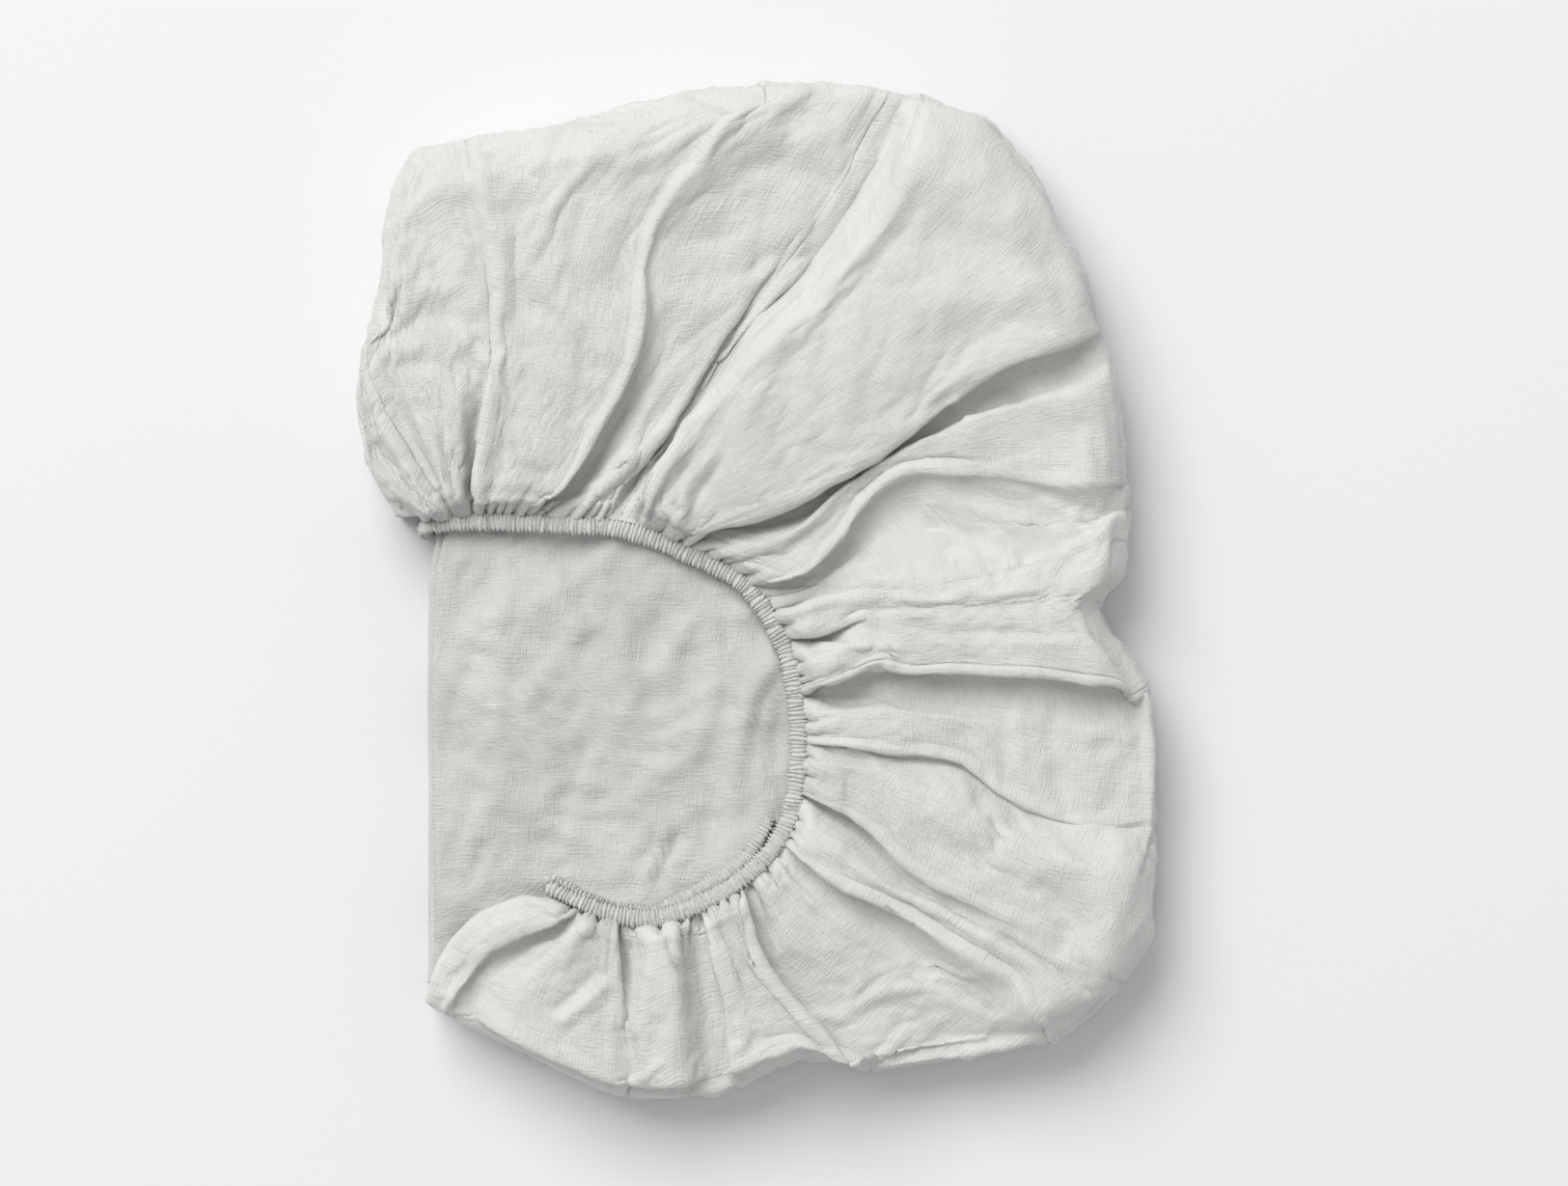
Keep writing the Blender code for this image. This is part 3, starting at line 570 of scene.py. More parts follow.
# Creases listed one by one along the photograph's. The line is in its pixels, then half width and
# height, and a lean above 0 is broader on the left of the line's run.
creases = (
    ("seamBand", ((674, 489), (661, 511), (648, 533)), 2.3, 0.6, 0.0),
    ("seamLine", ((931, 93), (906, 128), (891, 152), (875, 174), (859, 201), (840, 241)), 1.3, -0.8,
     0.0),
    ("seamEdge", ((937, 97), (912, 132), (897, 156), (881, 178), (865, 205), (846, 245)), 1.6, 0.6,
     0.0),
    ("fingerCrest", ((834, 669), (860, 670), (900, 671), (960, 674)), 1.6, 1.7, 0.5),
    ("fingerHollow", ((834, 663), (860, 664), (900, 665)), 1.8, -1.6, 0.0),
    ("pocketFold", ((672, 240), (700, 250), (734, 251), (780, 240)), 7.0, -1.6, 0.0),
    ("pocketLine", ((676, 238), (702, 250), (734, 250), (776, 240)), 1.5, -0.9, 0.0),
    ("crestTop", ((640, 122), (598, 183), (579, 210), (559, 246), (547, 277)), 5.0, 1.3, 0.6),
    ("topScar", ((586, 128), (575, 160), (562, 198)), 2.0, -1.2, 0.0),
    ("valleyFacet", ((802, 185), (790, 240), (776, 320)), 4.0, -1.3, 0.3),
    ("seamHollow", ((940, 118), (918, 140), (893, 170)), 9.0, -2.2, 0.0),
    ("seamCrest", ((862, 120), (835, 150), (812, 180)), 6.0, 1.5, 0.0),
    ("lobeA", ((602, 530), (622, 506), (656, 473), (696, 442), (722, 426)), 4.5, 3.6, 0.0),
    ("lobeAHollow", ((640, 520), (672, 484), (700, 458)), 4.0, -1.5, 0.0),
    ("tallRidgeA", ((716, 450), (700, 470), (682, 492), (668, 515), (658, 538)), 2.8, 3.0, 0.0),
    ("tallHollowA", ((726, 466), (706, 492), (688, 515), (674, 542)), 2.6, -3.4, 0.0),
    ("tallRidgeB", ((742, 440), (734, 478), (712, 502), (707, 530), (696, 560)), 3.0, 3.0, 0.2),
    ("tallHollowB", ((752, 470), (736, 496), (722, 518), (716, 540)), 2.6, -2.0, 0.0),
    ("tallCrest", ((885, 230), (850, 290), (812, 340), (790, 400), (760, 440), (746, 475)), 6.0,
     1.8, 0.2),
    ("tallCross", ((762, 442), (796, 474), (826, 500)), 2.6, 0.9, 0.0),
    ("tallCrossB", ((800, 432), (812, 470), (836, 512)), 3.0, -0.8, 0.0),
    ("tallBrow", ((925, 335), (1000, 312), (1070, 306), (1135, 322)), 11.0, 2.6, 0.0),
    ("tallDent", ((935, 236), (1020, 256), (1112, 288)), 9.0, -2.2, 0.0),
    ("tallScar", ((918, 292), (940, 298), (956, 290)), 2.5, -0.9, 0.0),
    ("tuck", ((986, 408), (992, 424), (1006, 440)), 2.6, 2.4, 0.0),
    ("tuckShade", ((1010, 408), (1040, 404), (1064, 420)), 3.5, -2.4, 0.0),
    ("wingFoldA", ((936, 526), (1000, 556), (1048, 574), (1084, 592)), 4.6, -2.8, 0.2),
    ("wingFoldB", ((985, 490), (1060, 506), (1110, 524), (1154, 536)), 4.2, -2.4, 0.2),
    ("wingRidge", ((955, 508), (1040, 538), (1110, 560)), 5.0, 1.6, 0.0),
    ("wingStart", ((795, 606), (828, 604), (856, 590)), 2.0, -3.0, 0.0),
    ("wingPleat", ((838, 578), (866, 560), (892, 540)), 2.4, 1.4, 0.0),
    ("ledgeCrest", ((850, 758), (920, 757), (1000, 768)), 7.0, 2.2, 0.0),
    ("rightStreakA", ((1064, 704), (1052, 760), (1072, 832)), 2.8, 1.1, 0.0),
    ("rightStreakB", ((1104, 716), (1086, 770), (1108, 842)), 5.0, -1.5, 0.2),
    ("rightStreakC", ((1146, 738), (1126, 782), (1142, 842)), 5.0, 1.2, 0.0),
    ("armTip", ((862, 776), (893, 779), (918, 804)), 2.4, 1.5, 0.3),
    ("armRidge", ((905, 810), (990, 850), (1060, 900)), 8.0, 1.6, 0.0),
    ("rightFoldA", ((1080, 878), (1130, 920), (1160, 985)), 5.0, 1.8, 0.0),
    ("rightFoldB", ((1056, 900), (1104, 942), (1132, 1000)), 4.5, -1.8, 0.0),
    ("fanRidge", ((945, 925), (1000, 960), (1050, 975)), 5.0, 1.5, 0.0),
    ("fanDent", ((880, 935), (925, 962), (958, 995), (965, 1040)), 7.0, -2.4, 0.2),
    ("fanCreaseA", ((872, 1040), (902, 1012), (948, 996)), 3.0, 1.4, 0.0),
    ("fanCreaseB", ((884, 1032), (960, 1026), (1035, 1056)), 4.0, 1.4, -0.3),
    ("fanCreaseC", ((930, 1062), (1000, 1072), (1060, 1066)), 4.5, -1.2, 0.0),
    ("pouchTrough", ((500, 1012), (538, 988), (588, 974)), 5.0, -1.0, 0.3),
    ("pouchRoll", ((462, 1016), (500, 972), (566, 944)), 4.2, 1.0, 0.0),
    ("pouchLobe", ((582, 1008), (596, 972), (622, 950)), 3.6, 2.0, 0.0),
    ("pouchRidge", ((638, 1006), (610, 1034), (573, 1064)), 3.2, 2.6, 0.3),
    ("pouchHollow", ((626, 998), (598, 1026), (566, 1052)), 3.0, -1.8, 0.0),
    ("pouchSlitA", ((650, 958), (652, 988)), 1.6, -2.6, 0.0),
    ("pouchRidgeB", ((672, 958), (676, 1000), (664, 1060)), 2.6, 1.5, 0.0),
    ("pouchSlitB", ((690, 956), (698, 990), (714, 1016)), 1.9, -2.0, 0.0),
    ("pouchCrest", ((716, 954), (738, 990), (750, 1040)), 4.0, 2.0, 0.3),
    ("pouchShade", ((758, 1036), (764, 1084)), 3.2, -1.4, 0.0),
    ("leftFacet", ((386, 456), (400, 476), (420, 496)), 4.5, -2.6, 0.2),
    ("leftTuck", ((410, 515), (424, 530), (442, 545)), 2.0, -1.8, 0.0),
    ("leftTuckLow", ((398, 500), (416, 508), (436, 536)), 2.0, -1.2, 0.0),
    ("leftLine", ((424, 180), (413, 232), (404, 292), (388, 345)), 1.8, -0.9, 0.2),
    ("leftScar", ((424, 290), (444, 281), (464, 270)), 1.7, -1.0, 0.0),
    ("leftPleatLine", ((506, 384), (508, 405), (500, 450), (492, 500), (490, 528)), 1.7, 1.6, 0.5),
    ("tongueScar", ((524, 326), (527, 376), (532, 424)), 2.4, -1.8, 0.2),
    ("tongueBend", ((612, 320), (606, 380), (596, 440)), 6.0, -1.6, 0.3),
    ("leftBend", ((500, 345), (466, 372), (440, 404)), 4.0, 1.0, 0.0),
)


def creaseHeights(grid, table):
    # Each crease is a soft ridge or groove along its line, and fades out in the last quarters.
    flat = grid[:, :, :2]
    height = np.zeros(flat.shape[:2])
    for name, pixels, width, size, lean in table:
        line = curveThrough([fromPhoto(*pixel) for pixel in pixels], 8)
        best = np.full(flat.shape[:2], 1e9)
        place = np.zeros(flat.shape[:2])
        breadth = np.full(flat.shape[:2], width)
        for i, (a, b) in enumerate(zip(line[:-1], line[1:])):
            run = b - a
            share = np.clip(((flat - a) @ run) / (run @ run), 0.0, 1.0)
            away = flat - a - share[..., None] * run
            gap = np.linalg.norm(away, axis=2)
            leftOf = (run[0] * away[:, :, 1] - run[1] * away[:, :, 0]) > 0.0
            closer = gap < best
            best = np.where(closer, gap, best)
            breadth = np.where(closer, width * np.where(leftOf, 1.0 + lean, 1.0 - lean), breadth)
            place = np.where(closer, (i + share) / (len(line) - 1), place)
        taper = smoothStep(place / 0.25) * smoothStep((1.0 - place) / 0.25)
        height += size * np.exp(-(best / breadth) ** 2) * taper
    return height


# The main panel, folded back and forth: the layers show along the left side of the bundle
panel = {
    "layers": 16,
    "thickness": 1.8,
    "leftFold": -154.0,
    "stepBack": 10.0,
    "bottom": -183.0,
    "top": 188.0,
    "reach": 20.0,
    "rows": 150,
    "topSteps": 110,
    "lowSteps": 5,
    "turnSteps": 3,
    "seed": 23,
    "wander": 2.4,
    "turnBulge": 1.25,
    "waves": (0.25, 31.0, 47.0),    # height and length of a slow swell of all layers
    "pressed": 0.16,            # the inner layers give way to the top layer's dips
    "crumpleSeed": 31,
    "crumpleHeights": (3.2, 3.2, 1.6, 0.4),
    "crumpleSizes": (60.0, 26.0, 11.0, 5.5),
    "sink": 1.9,
    "foldBlend": (2.0, 14.0),   # the fold on the left keeps its round shape
    # The panel's colours are darker all over than the skirt's linen: this is painted shade, for the
    # duller light over the panel inside the ring of lobes; the mottle between the two colours is
    # the cloth's own uneven tone.
    "colour": "#CFCFCC",
    "shade": "#C3C3C0",
    "mottle": 60.0,
    "flat": (0.99, 1.93),
}


def addObject(name, data):
    thing = bpy.data.objects.new(name, data)
    bpy.context.scene.collection.objects.link(thing)
    return thing


def addMesh(name, points, edges, faces):
    mesh = bpy.data.meshes.new(name)
    mesh.from_pydata(points, edges, faces)
    return mesh


def gridFaces(index):
    # One face for every cell of a grid of vertex numbers.
    corners = (index[:-1, :-1], index[1:, :-1], index[1:, 1:], index[:-1, 1:])
    return np.stack(corners, axis=-1).reshape(-1, 4)


def stackOutline():
    # The stack in plan: the rim, drawn in by the inset.
    places = np.arange(0.0, rimLine.length, 4.0)
    return np.array([rimLine.at(s) - rimLine.left(s) * insetAt(s) for s in places])


def crossingsAt(edge, y):
    # Where a level line crosses the outline.
    found = []
    for a, b in zip(edge[:-1], edge[1:]):
        if (a[1] - y) * (b[1] - y) <= 0.0 and a[1] != b[1]:
            found.append(a[0] + (b[0] - a[0]) * (y - a[1]) / (b[1] - a[1]))
    return found


def stackLimits(edge, y):
    # The stack's left and right side at one y, kept inside the outline a little above and below.
    left = panel["leftFold"] + panel["stepBack"] * float(smoothStep(y / bundle["insetBlend"]))
    right = edge[:, 0].max()
    for level in (y - panel["reach"], y, y + panel["reach"]):
        found = crossingsAt(edge, min(max(level, panel["bottom"]), panel["top"]))
        right = min(right, max(found))
        if level > bundle["insetBlend"]:
            left = max(left, min(found))
    return left, right


# The simulation that crumples the skirt: its cloth grows a little and buckles within its folds
settle = {
    "frames": 24,
    "growth": 0.025,
    "quality": 6,
    "mass": 0.15,
    "tension": 20.0,
    "shear": 8.0,
    "bending": 0.15,
    "damping": 8.0,
    "gravity": 0.05,
    "hold": 0.12,               # how firmly the cloth keeps to its folds, from 0 to 1
    "sideHold": 0.16,
    "sideTop": (26.0, 16.0),    # heights where the sides' own hold ends, and over how much
    "hemPinned": 14.0,
    "footPinned": (3.0, 10.0),
    "gap": 1.0,
    "stackFriction": 2.0,
    "stackGrid": (40, 12),
    "every": (3, 2),            # the simulation takes every third column and second row
}


def stackCollider():
    # The stack's flat top, for the simulation alone.
    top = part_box("main_panel")[1].z
    edge = stackOutline()
    rows, columns = settle["stackGrid"]
    points = []
    for y in np.linspace(panel["bottom"], panel["top"], rows):
        left, right = stackLimits(edge, y)
        points += [(x * mm, y * mm, top) for x in np.linspace(left, right, columns)]
    faces = gridFaces(np.arange(len(points)).reshape(rows, columns))[:, [0, 3, 2, 1]]
    stack = addObject("stackTop", addMesh("stackTop", points, [], faces.tolist()))
    stack.modifiers.new("collision", "COLLISION")
    stack.collision.thickness_outer = settle["gap"] * mm
    stack.collision.cloth_friction = settle["stackFriction"]
    return stack


def settleCloth(grid):
    # Blender's cloth simulation crumples a coarser copy, and the full grid follows its moves.
    rowsUsed, columnsUsed = [np.unique(np.append(np.arange(0, size, every), size - 1))
                             for size, every in zip(grid.shape, settle["every"])]
    coarse = grid[np.ix_(rowsUsed, columnsUsed)]
    rows, columns = coarse.shape[:2]
    faces = gridFaces(np.arange(rows * columns).reshape(rows, columns))
    points = (coarse.reshape(-1, 3) * mm).tolist()
    cloth = addObject("settling", addMesh("settling", points, [], faces.tolist()))
    stack = stackCollider()
    heights = coarse[:, :, 2]
    sideStart, sideSpan = settle["sideTop"]
    footStart, footSpan = settle["footPinned"]
    fixed = 1.0 - smoothStep(alongRows(coarse) / settle["hemPinned"])
    side = settle["sideHold"] * (1.0 - smoothStep((heights - sideStart) / sideSpan))
    fixed = np.maximum(fixed, 1.0 - smoothStep((heights - footStart) / footSpan))
    hold = np.maximum(settle["hold"], side)
    hold = hold + (1.0 - hold) * fixed
    hold[0] = hold[-1] = 1.0
    pins = cloth.vertex_groups.new(name="hold")
    for i, weight in enumerate(hold.ravel().tolist()):
        pins.add([i], weight, "REPLACE")
    modifier = cloth.modifiers.new("cloth", "CLOTH")
    own = modifier.settings
    own.quality = settle["quality"]
    own.mass = settle["mass"]
    own.tension_stiffness = own.compression_stiffness = settle["tension"]
    own.shear_stiffness = settle["shear"]
    own.bending_stiffness = settle["bending"]
    own.air_damping = settle["damping"]
    own.vertex_group_mass = "hold"
    own.shrink_min = -settle["growth"]
    own.effector_weights.gravity = settle["gravity"]
    modifier.collision_settings.distance_min = settle["gap"] * mm
    modifier.collision_settings.collision_quality = 2
    modifier.point_cache.frame_start = 1
    modifier.point_cache.frame_end = settle["frames"]
    scene = bpy.context.scene
    for frame in range(1, settle["frames"] + 1):
        scene.frame_set(frame)
    settled = cloth.evaluated_get(bpy.context.evaluated_depsgraph_get()).data
    moved = np.zeros(rows * columns * 3)
    settled.vertices.foreach_get("co", moved)
    moved = moved.reshape(rows, columns, 3) / mm - coarse
    scene.frame_set(1)
    for thing in (cloth, stack):
        data = thing.data
        bpy.data.objects.remove(thing)
        bpy.data.meshes.remove(data)
    print("settled, furthest move in mm:", round(float(np.abs(moved).max()), 2),
          "mean", round(float(np.abs(moved).mean()), 2))
    full = smoothThrough(moved, rowsUsed.astype(float), np.arange(grid.shape[0], dtype=float))
    full = full.transpose(1, 0, 2)
    full = smoothThrough(full, columnsUsed.astype(float), np.arange(grid.shape[1], dtype=float))
    return grid + full.transpose(1, 0, 2)


def closedSheet(name, grid, uv, thickness, material):
    # A thin closed sheet on a grid of points, in metres, with the cloth's own coordinates.
    normals = gridNormals(grid) * thickness / 2
    upper = grid + normals
    lower = grid - normals
    vertices = np.concatenate([upper.reshape(-1, 3), lower.reshape(-1, 3)])
    vertices[:, 2] = np.maximum(vertices[:, 2], 0.0)
    rows, columns = grid.shape[:2]
    size = rows * columns
    index = np.arange(size).reshape(rows, columns)
    top = gridFaces(index)
    bottom = size + top[:, ::-1]
    border = np.concatenate([index[0, :], index[1:, -1], index[-1, -2::-1], index[-2:0:-1, 0]])
    after = np.roll(border, -1)
    walls = np.stack([border, after, size + after, size + border], axis=1)
    faces = np.concatenate([top, bottom, walls])
    mesh = bpy.data.meshes.new(name)
    mesh.vertices.add(len(vertices))
    mesh.vertices.foreach_set("co", (vertices * mm).ravel())
    mesh.loops.add(faces.size)
    mesh.loops.foreach_set("vertex_index", faces.ravel())
    mesh.polygons.add(len(faces))
    mesh.polygons.foreach_set("loop_start", np.arange(0, faces.size, 4))
    mesh.update(calc_edges=True)
    layer = mesh.uv_layers.new(name="cloth")
    both = np.concatenate([uv.reshape(-1, 2), uv.reshape(-1, 2)])
    layer.data.foreach_set("uv", both[faces.ravel()].ravel())
    mesh.validate()
    mesh.shade_smooth()
    mesh.materials.append(material)
    return addObject(name, mesh)


def hexColour(code):
    # An sRGB hex colour as linear values.
    parts = [int(code[i:i + 2], 16) / 255 for i in (1, 3, 5)]
    parts = [p / 12.92 if p <= 0.04045 else ((p + 0.055) / 1.055) ** 2.4 for p in parts]
    return (*parts, 1.0)


def addNode(tree, kind, settings=None, links=None):
    # Adds one node, sets its fields and sockets, and links what is given into it.
    node = tree.nodes.new(kind)
    for key, value in (settings or {}).items():
        if isinstance(key, str) and hasattr(node, key) and key not in node.inputs:
            setattr(node, key, value)
        else:
            node.inputs[key].default_value = value
    for key, source in (links or {}).items():
        tree.links.new(source, node.inputs[key])
    return node


# Washed linen: plain weave of uneven flax yarn. It gives the eye a matt, slightly broken surface
# with fine slubs along both threads. The threads are really 0.5 mm apart, and are drawn coarser,
# at 1.0 mm, so that they show in the render.
linen = {
    "colour": "#D9D9D6",
    "slub": "#E2E2DF",
    "shade": "#D2D2CF",
    "roughness": 0.92,
    "sheen": 0.25,
    "sheenRoughness": 0.5,
    "threadWidth": 1.0,
    "threadLength": 7.0,
    "threadRange": (0.3, 0.7),  # the part of the noise that is drawn
    "slubLength": 20.0,
    "slubWidth": 0.75,
    "slubRange": (0.58, 0.78),
    "slubRelief": 0.8,
    "mottle": 30.0,
    "mottleRange": (0.35, 0.7),
    "weaveDepth": 0.24,
}
uvUnit = 100.0                  # millimetres of cloth for one unit of the piece's UV map


def makeLinen(name, style):
    material = bpy.data.materials.new(name)
    material.use_nodes = True
    tree = material.node_tree
    shader = tree.nodes["Principled BSDF"]
    shader.inputs["Roughness"].default_value = style["roughness"]
    shader.inputs["Sheen Weight"].default_value = style["sheen"]
    shader.inputs["Sheen Roughness"].default_value = style["sheenRoughness"]
    place = addNode(tree, "ShaderNodeTexCoord").outputs["UV"]
    threads = []
    slubs = []
    for turn in (0, 1):
        for kind, found in (("thread", threads), ("slub", slubs)):
            length = style[kind + "Length"]
            width = style[kind + "Width"]
            low, high = style[kind + "Range"]
            scales = (uvUnit / length, uvUnit / width, 1.0)
            if turn:
                scales = (uvUnit / width, uvUnit / length, 1.0)
            stretched = addNode(tree, "ShaderNodeMapping", {
                "Scale": scales, "Location": (3.1 * turn, 1.7 * length, 0.0)}, {"Vector": place})
            streaks = addNode(tree, "ShaderNodeTexNoise", {
                "Scale": 1.0, "Detail": 2.0, "Roughness": 0.5}, {"Vector": stretched.outputs[0]})
            found.append(addNode(tree, "ShaderNodeMapRange", {
                "From Min": low, "From Max": high, "To Min": 0.0, "To Max": 1.0},
                {"Value": streaks.outputs["Fac"]}).outputs["Result"])
    weave = addNode(tree, "ShaderNodeMath", {"operation": "ADD"},
                    {0: threads[0], 1: threads[1]}).outputs[0]
    slub = addNode(tree, "ShaderNodeMath", {"operation": "MAXIMUM"},
                   {0: slubs[0], 1: slubs[1]}).outputs[0]
    mottle = addNode(tree, "ShaderNodeTexNoise", {
        "Scale": uvUnit / style["mottle"], "Detail": 4.0, "Roughness": 0.6}, {"Vector": place})
    low, high = style["mottleRange"]
    tone = addNode(tree, "ShaderNodeMapRange", {
        "From Min": low, "From Max": high, "To Min": 0.0, "To Max": 1.0},
        {"Value": mottle.outputs["Fac"]}).outputs["Result"]
    body = addNode(tree, "ShaderNodeMix", {
        "data_type": "RGBA", 6: hexColour(style["shade"]), 7: hexColour(style["colour"])},
        {0: tone})
    yarn = addNode(tree, "ShaderNodeMix", {"data_type": "RGBA", 7: hexColour(style["slub"])},
                   {0: slub, 6: body.outputs[2]})
    tree.links.new(yarn.outputs[2], shader.inputs["Base Color"])
    relief = addNode(tree, "ShaderNodeMath", {"operation": "MULTIPLY_ADD", 1: style["slubRelief"]},
                     {0: slub, 2: weave}).outputs[0]
    bump = addNode(tree, "ShaderNodeBump", {
        "Strength": 1.0, "Distance": style["weaveDepth"] * mm}, {"Height": relief})
    tree.links.new(bump.outputs["Normal"], shader.inputs["Normal"])
    return material


def skirtPieces():
    columns = skirt["columns"] // 1
    grid, where = skirtSurface(columns, skirt["rows"])
    along = alongRows(grid)
    grid = settleCloth(grid)
    normals = gridNormals(grid)
    heights = grid[:, :, 2]
    footStart, footSpan = crumple["foot"]
    lowStart, lowSpan = crumple["sideFoot"]
    topEnd, topSpan = crumple["sideTop"]
    cover = smoothStep((heights - footStart) / footSpan)
    pleats = gatherHeights(where[:, 0], along)
    marks = creaseHeights(grid, creases) * (normals[:, :, 2] > 0.2)
    soft = crumpleAt(grid, crumple["seed"], crumple["heights"], crumple["sizes"])
    onSide = smoothStep((heights - lowStart) / lowSpan) * smoothStep((topEnd - heights) / topSpan)
    hanging = crumpleAt(grid * (1.0, 1.0, crumple["sideSqueeze"]), crumple["sideSeed"],
                        crumple["sideHeights"], crumple["sideSizes"])
    soft += onSide * (hanging - crumple["sideInward"])
    soft *= cover * smoothStep(along / crumple["hemFade"])
    grid = grid + normals * (pleats + marks + soft)[:, :, None]
    floor = np.where(along < skirt["lowestUntil"], skirt["lowest"], skirt["thickness"] / 2)
    grid[:, :, 2] = np.maximum(grid[:, :, 2], floor)
    across = np.repeat(where[:, 1:], grid.shape[1], axis=1)
    uv = np.stack([across, along], axis=2) / uvUnit
    starts = [int(np.argmin(abs(where[:, 1] - part[1]))) for part in skirt["parts"]]
    cloth = makeLinen("washedLinenSkirt", linen)
    pieces = []
    for part, first, last in zip(skirt["parts"], starts, starts[1:] + [columns - 1]):
        piece = closedSheet(part[0], grid[first:last + 1], uv[first:last + 1],
                            skirt["thickness"], cloth)
        pieces.append((piece, part[2]))
    print("skirt:", grid.shape, "parts start at columns", starts)
    return pieces, grid


panelCreases = (
    ("panelSwell", ((520, 540), (530, 720), (520, 940)), 24.0, 2.6, 0.0),
    ("panelScarA", ((690, 852), (684, 880), (660, 926)), 2.4, 3.8, 0.3),
    ("panelHollowA", ((700, 856), (694, 884), (672, 928)), 3.0, -3.2, 0.0),
    ("panelScarB", ((502, 868), (496, 892), (482, 930)), 2.4, -2.8, 0.0),
    ("panelStep", ((815, 688), (798, 694), (778, 732), (764, 796), (762, 856)), 4.6, 3.6, -0.4),
    ("panelEdge", ((806, 700), (792, 722), (782, 752)), 2.4, -1.6, 0.0),
    ("panelEdgeB", ((812, 710), (806, 750), (800, 800)), 2.2, -1.4, 0.0),
    ("panelTopA", ((446, 566), (462, 584), (478, 616)), 3.0, -1.8, 0.0),
    ("panelTopB", ((490, 566), (470, 590), (462, 630)), 4.0, 1.6, 0.0),
    ("panelBendA", ((560, 560), (590, 640), (600, 720)), 5.6, 2.2, 0.3),
    ("panelBendB", ((690, 600), (670, 700), (690, 800)), 6.2, -2.0, 0.0),
    ("panelBendC", ((500, 600), (520, 700), (500, 820)), 5.6, 1.8, 0.3),
    ("panelBendD", ((730, 620), (740, 700), (720, 790)), 4.3, 1.6, 0.3),
    ("panelBendE", ((640, 760), (600, 830), (590, 900)), 5.0, 1.5, 0.3),
    ("panelFoldA", ((646, 566), (606, 640), (560, 704), (530, 740)), 5.5, 2.0, 0.3),
    ("panelFoldB", ((744, 606), (704, 664), (652, 730), (612, 786)), 6.0, 2.1, 0.0),
    ("panelFoldC", ((508, 640), (474, 716), (452, 796)), 4.5, -1.8, 0.3),
    ("panelFoldD", ((764, 690), (722, 752), (680, 806), (604, 856)), 7.0, 2.6, 0.0),
    ("panelFoldE", ((548, 752), (506, 828), (482, 884)), 5.0, 1.8, 0.3),
    ("panelWedge", ((768, 760), (738, 836), (712, 916)), 12.0, -2.6, -0.3),
)


def layerWander(layer, y):
    # How far a fold stands back from the stack's side, different for each layer.
    lean = noise.noise(Vector((layer * 1.7, y / 90.0, panel["seed"])))
    return panel["wander"] * (0.5 + 0.9 * lean) + 0.5


def panelPiece():
    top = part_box("main_panel")[1].z / mm
    pitch = (top - panel["thickness"]) / (panel["layers"] - 1)
    turn = pitch / 2
    edge = stackOutline()
    rows = panel["rows"] // 1
    grid = []
    for y in np.linspace(panel["bottom"], panel["top"], rows):
        left, right = stackLimits(edge, y)
        line = []
        for layer in range(panel["layers"]):
            z = panel["thickness"] / 2 + pitch * layer
            last = layer == panel["layers"] - 1
            low = left + turn + layerWander(layer - layer % 2, y)
            high = right - turn - layerWander(40 + layer + layer % 2, y)
            xs = np.linspace(low, high, (panel["topSteps"] if last else panel["lowSteps"]) + 1)
            xs = xs if layer % 2 == 0 else xs[::-1]
            line += [(x, y, z) for x in xs]
            if not last:
                side = 1.0 if layer % 2 == 0 else -1.0
                for step in range(panel["turnSteps"]):
                    bend = math.pi * ((step + 1) / (panel["turnSteps"] + 1) - 0.5)
                    line.append((xs[-1] + side * turn * math.cos(bend) * panel["turnBulge"], y,
                                 z + turn + turn * math.sin(bend)))
        grid.append(line)
    grid = np.array(grid)
    along = alongRows(grid)
    size, longAcross, longAlong = panel["waves"]
    waves = size * np.sin(grid[:, :, 1] / longAcross + grid[:, :, 0] / longAlong)
    grid[:, :, 2] += waves * (grid[:, :, 2] > 3.0)      # the lowest layer stays flat
    first = grid.shape[1] - panel["topSteps"] - 1
    surface = grid[:, first:]
    blendStart, blendSpan = panel["foldBlend"]
    within = smoothStep((grid[:, :, 0] - panel["leftFold"] - blendStart) / blendSpan)
    grid[:, :first, 2] *= 1.0 - panel["pressed"] * within[:, :first]
    soft = crumpleAt(surface, panel["crumpleSeed"], panel["crumpleHeights"], panel["crumpleSizes"])
    soft += creaseHeights(surface, panelCreases)
    grid[:, first:, 2] += (soft - panel["sink"]) * within[:, first:]
    across = np.repeat(grid[:, :1, 1], grid.shape[1], axis=1)
    start = grid[:, first:first + 1, 0] - along[:, first:first + 1]
    uv = np.stack([across, along + start], axis=2) / uvUnit
    # The panel's own darker colours paint in the shade over the panel; its mottle stays the cloth's
    # random tone.
    own = {key: panel[key] for key in ("colour", "shade", "mottle")}
    cloth = makeLinen("washedLinenPanelPaintedShade", dict(linen, **own))
    piece = closedSheet("main_panel_cloth", grid, uv, panel["thickness"], cloth)
    print("panel:", grid.shape)
    return piece


# The corner seam's end by the elastic: two rows of stitches on its felled band
stitches = {
    "path": ((674, 489), (668, 500), (661, 511), (655, 521), (648, 533)),
    "apart": 3.6,
    "pitch": 2.9,
    "length": 2.3,
    "width": 0.55,
    "colour": "#E6E6E3",
}


def startTree(name, inputs):
    # A geometry node tree with named inputs, and their values by the sockets' identifiers.
    tree = bpy.data.node_groups.new(name, "GeometryNodeTree")
    tree.interface.new_socket("Geometry", in_out="INPUT", socket_type="NodeSocketGeometry")
    values = {}
    for label, value in inputs.items():
        socket = tree.interface.new_socket(label, in_out="INPUT", socket_type="NodeSocketFloat")
        socket.default_value = value
        values[socket.identifier] = value
    tree.interface.new_socket("Geometry", in_out="OUTPUT", socket_type="NodeSocketGeometry")
    return tree, values


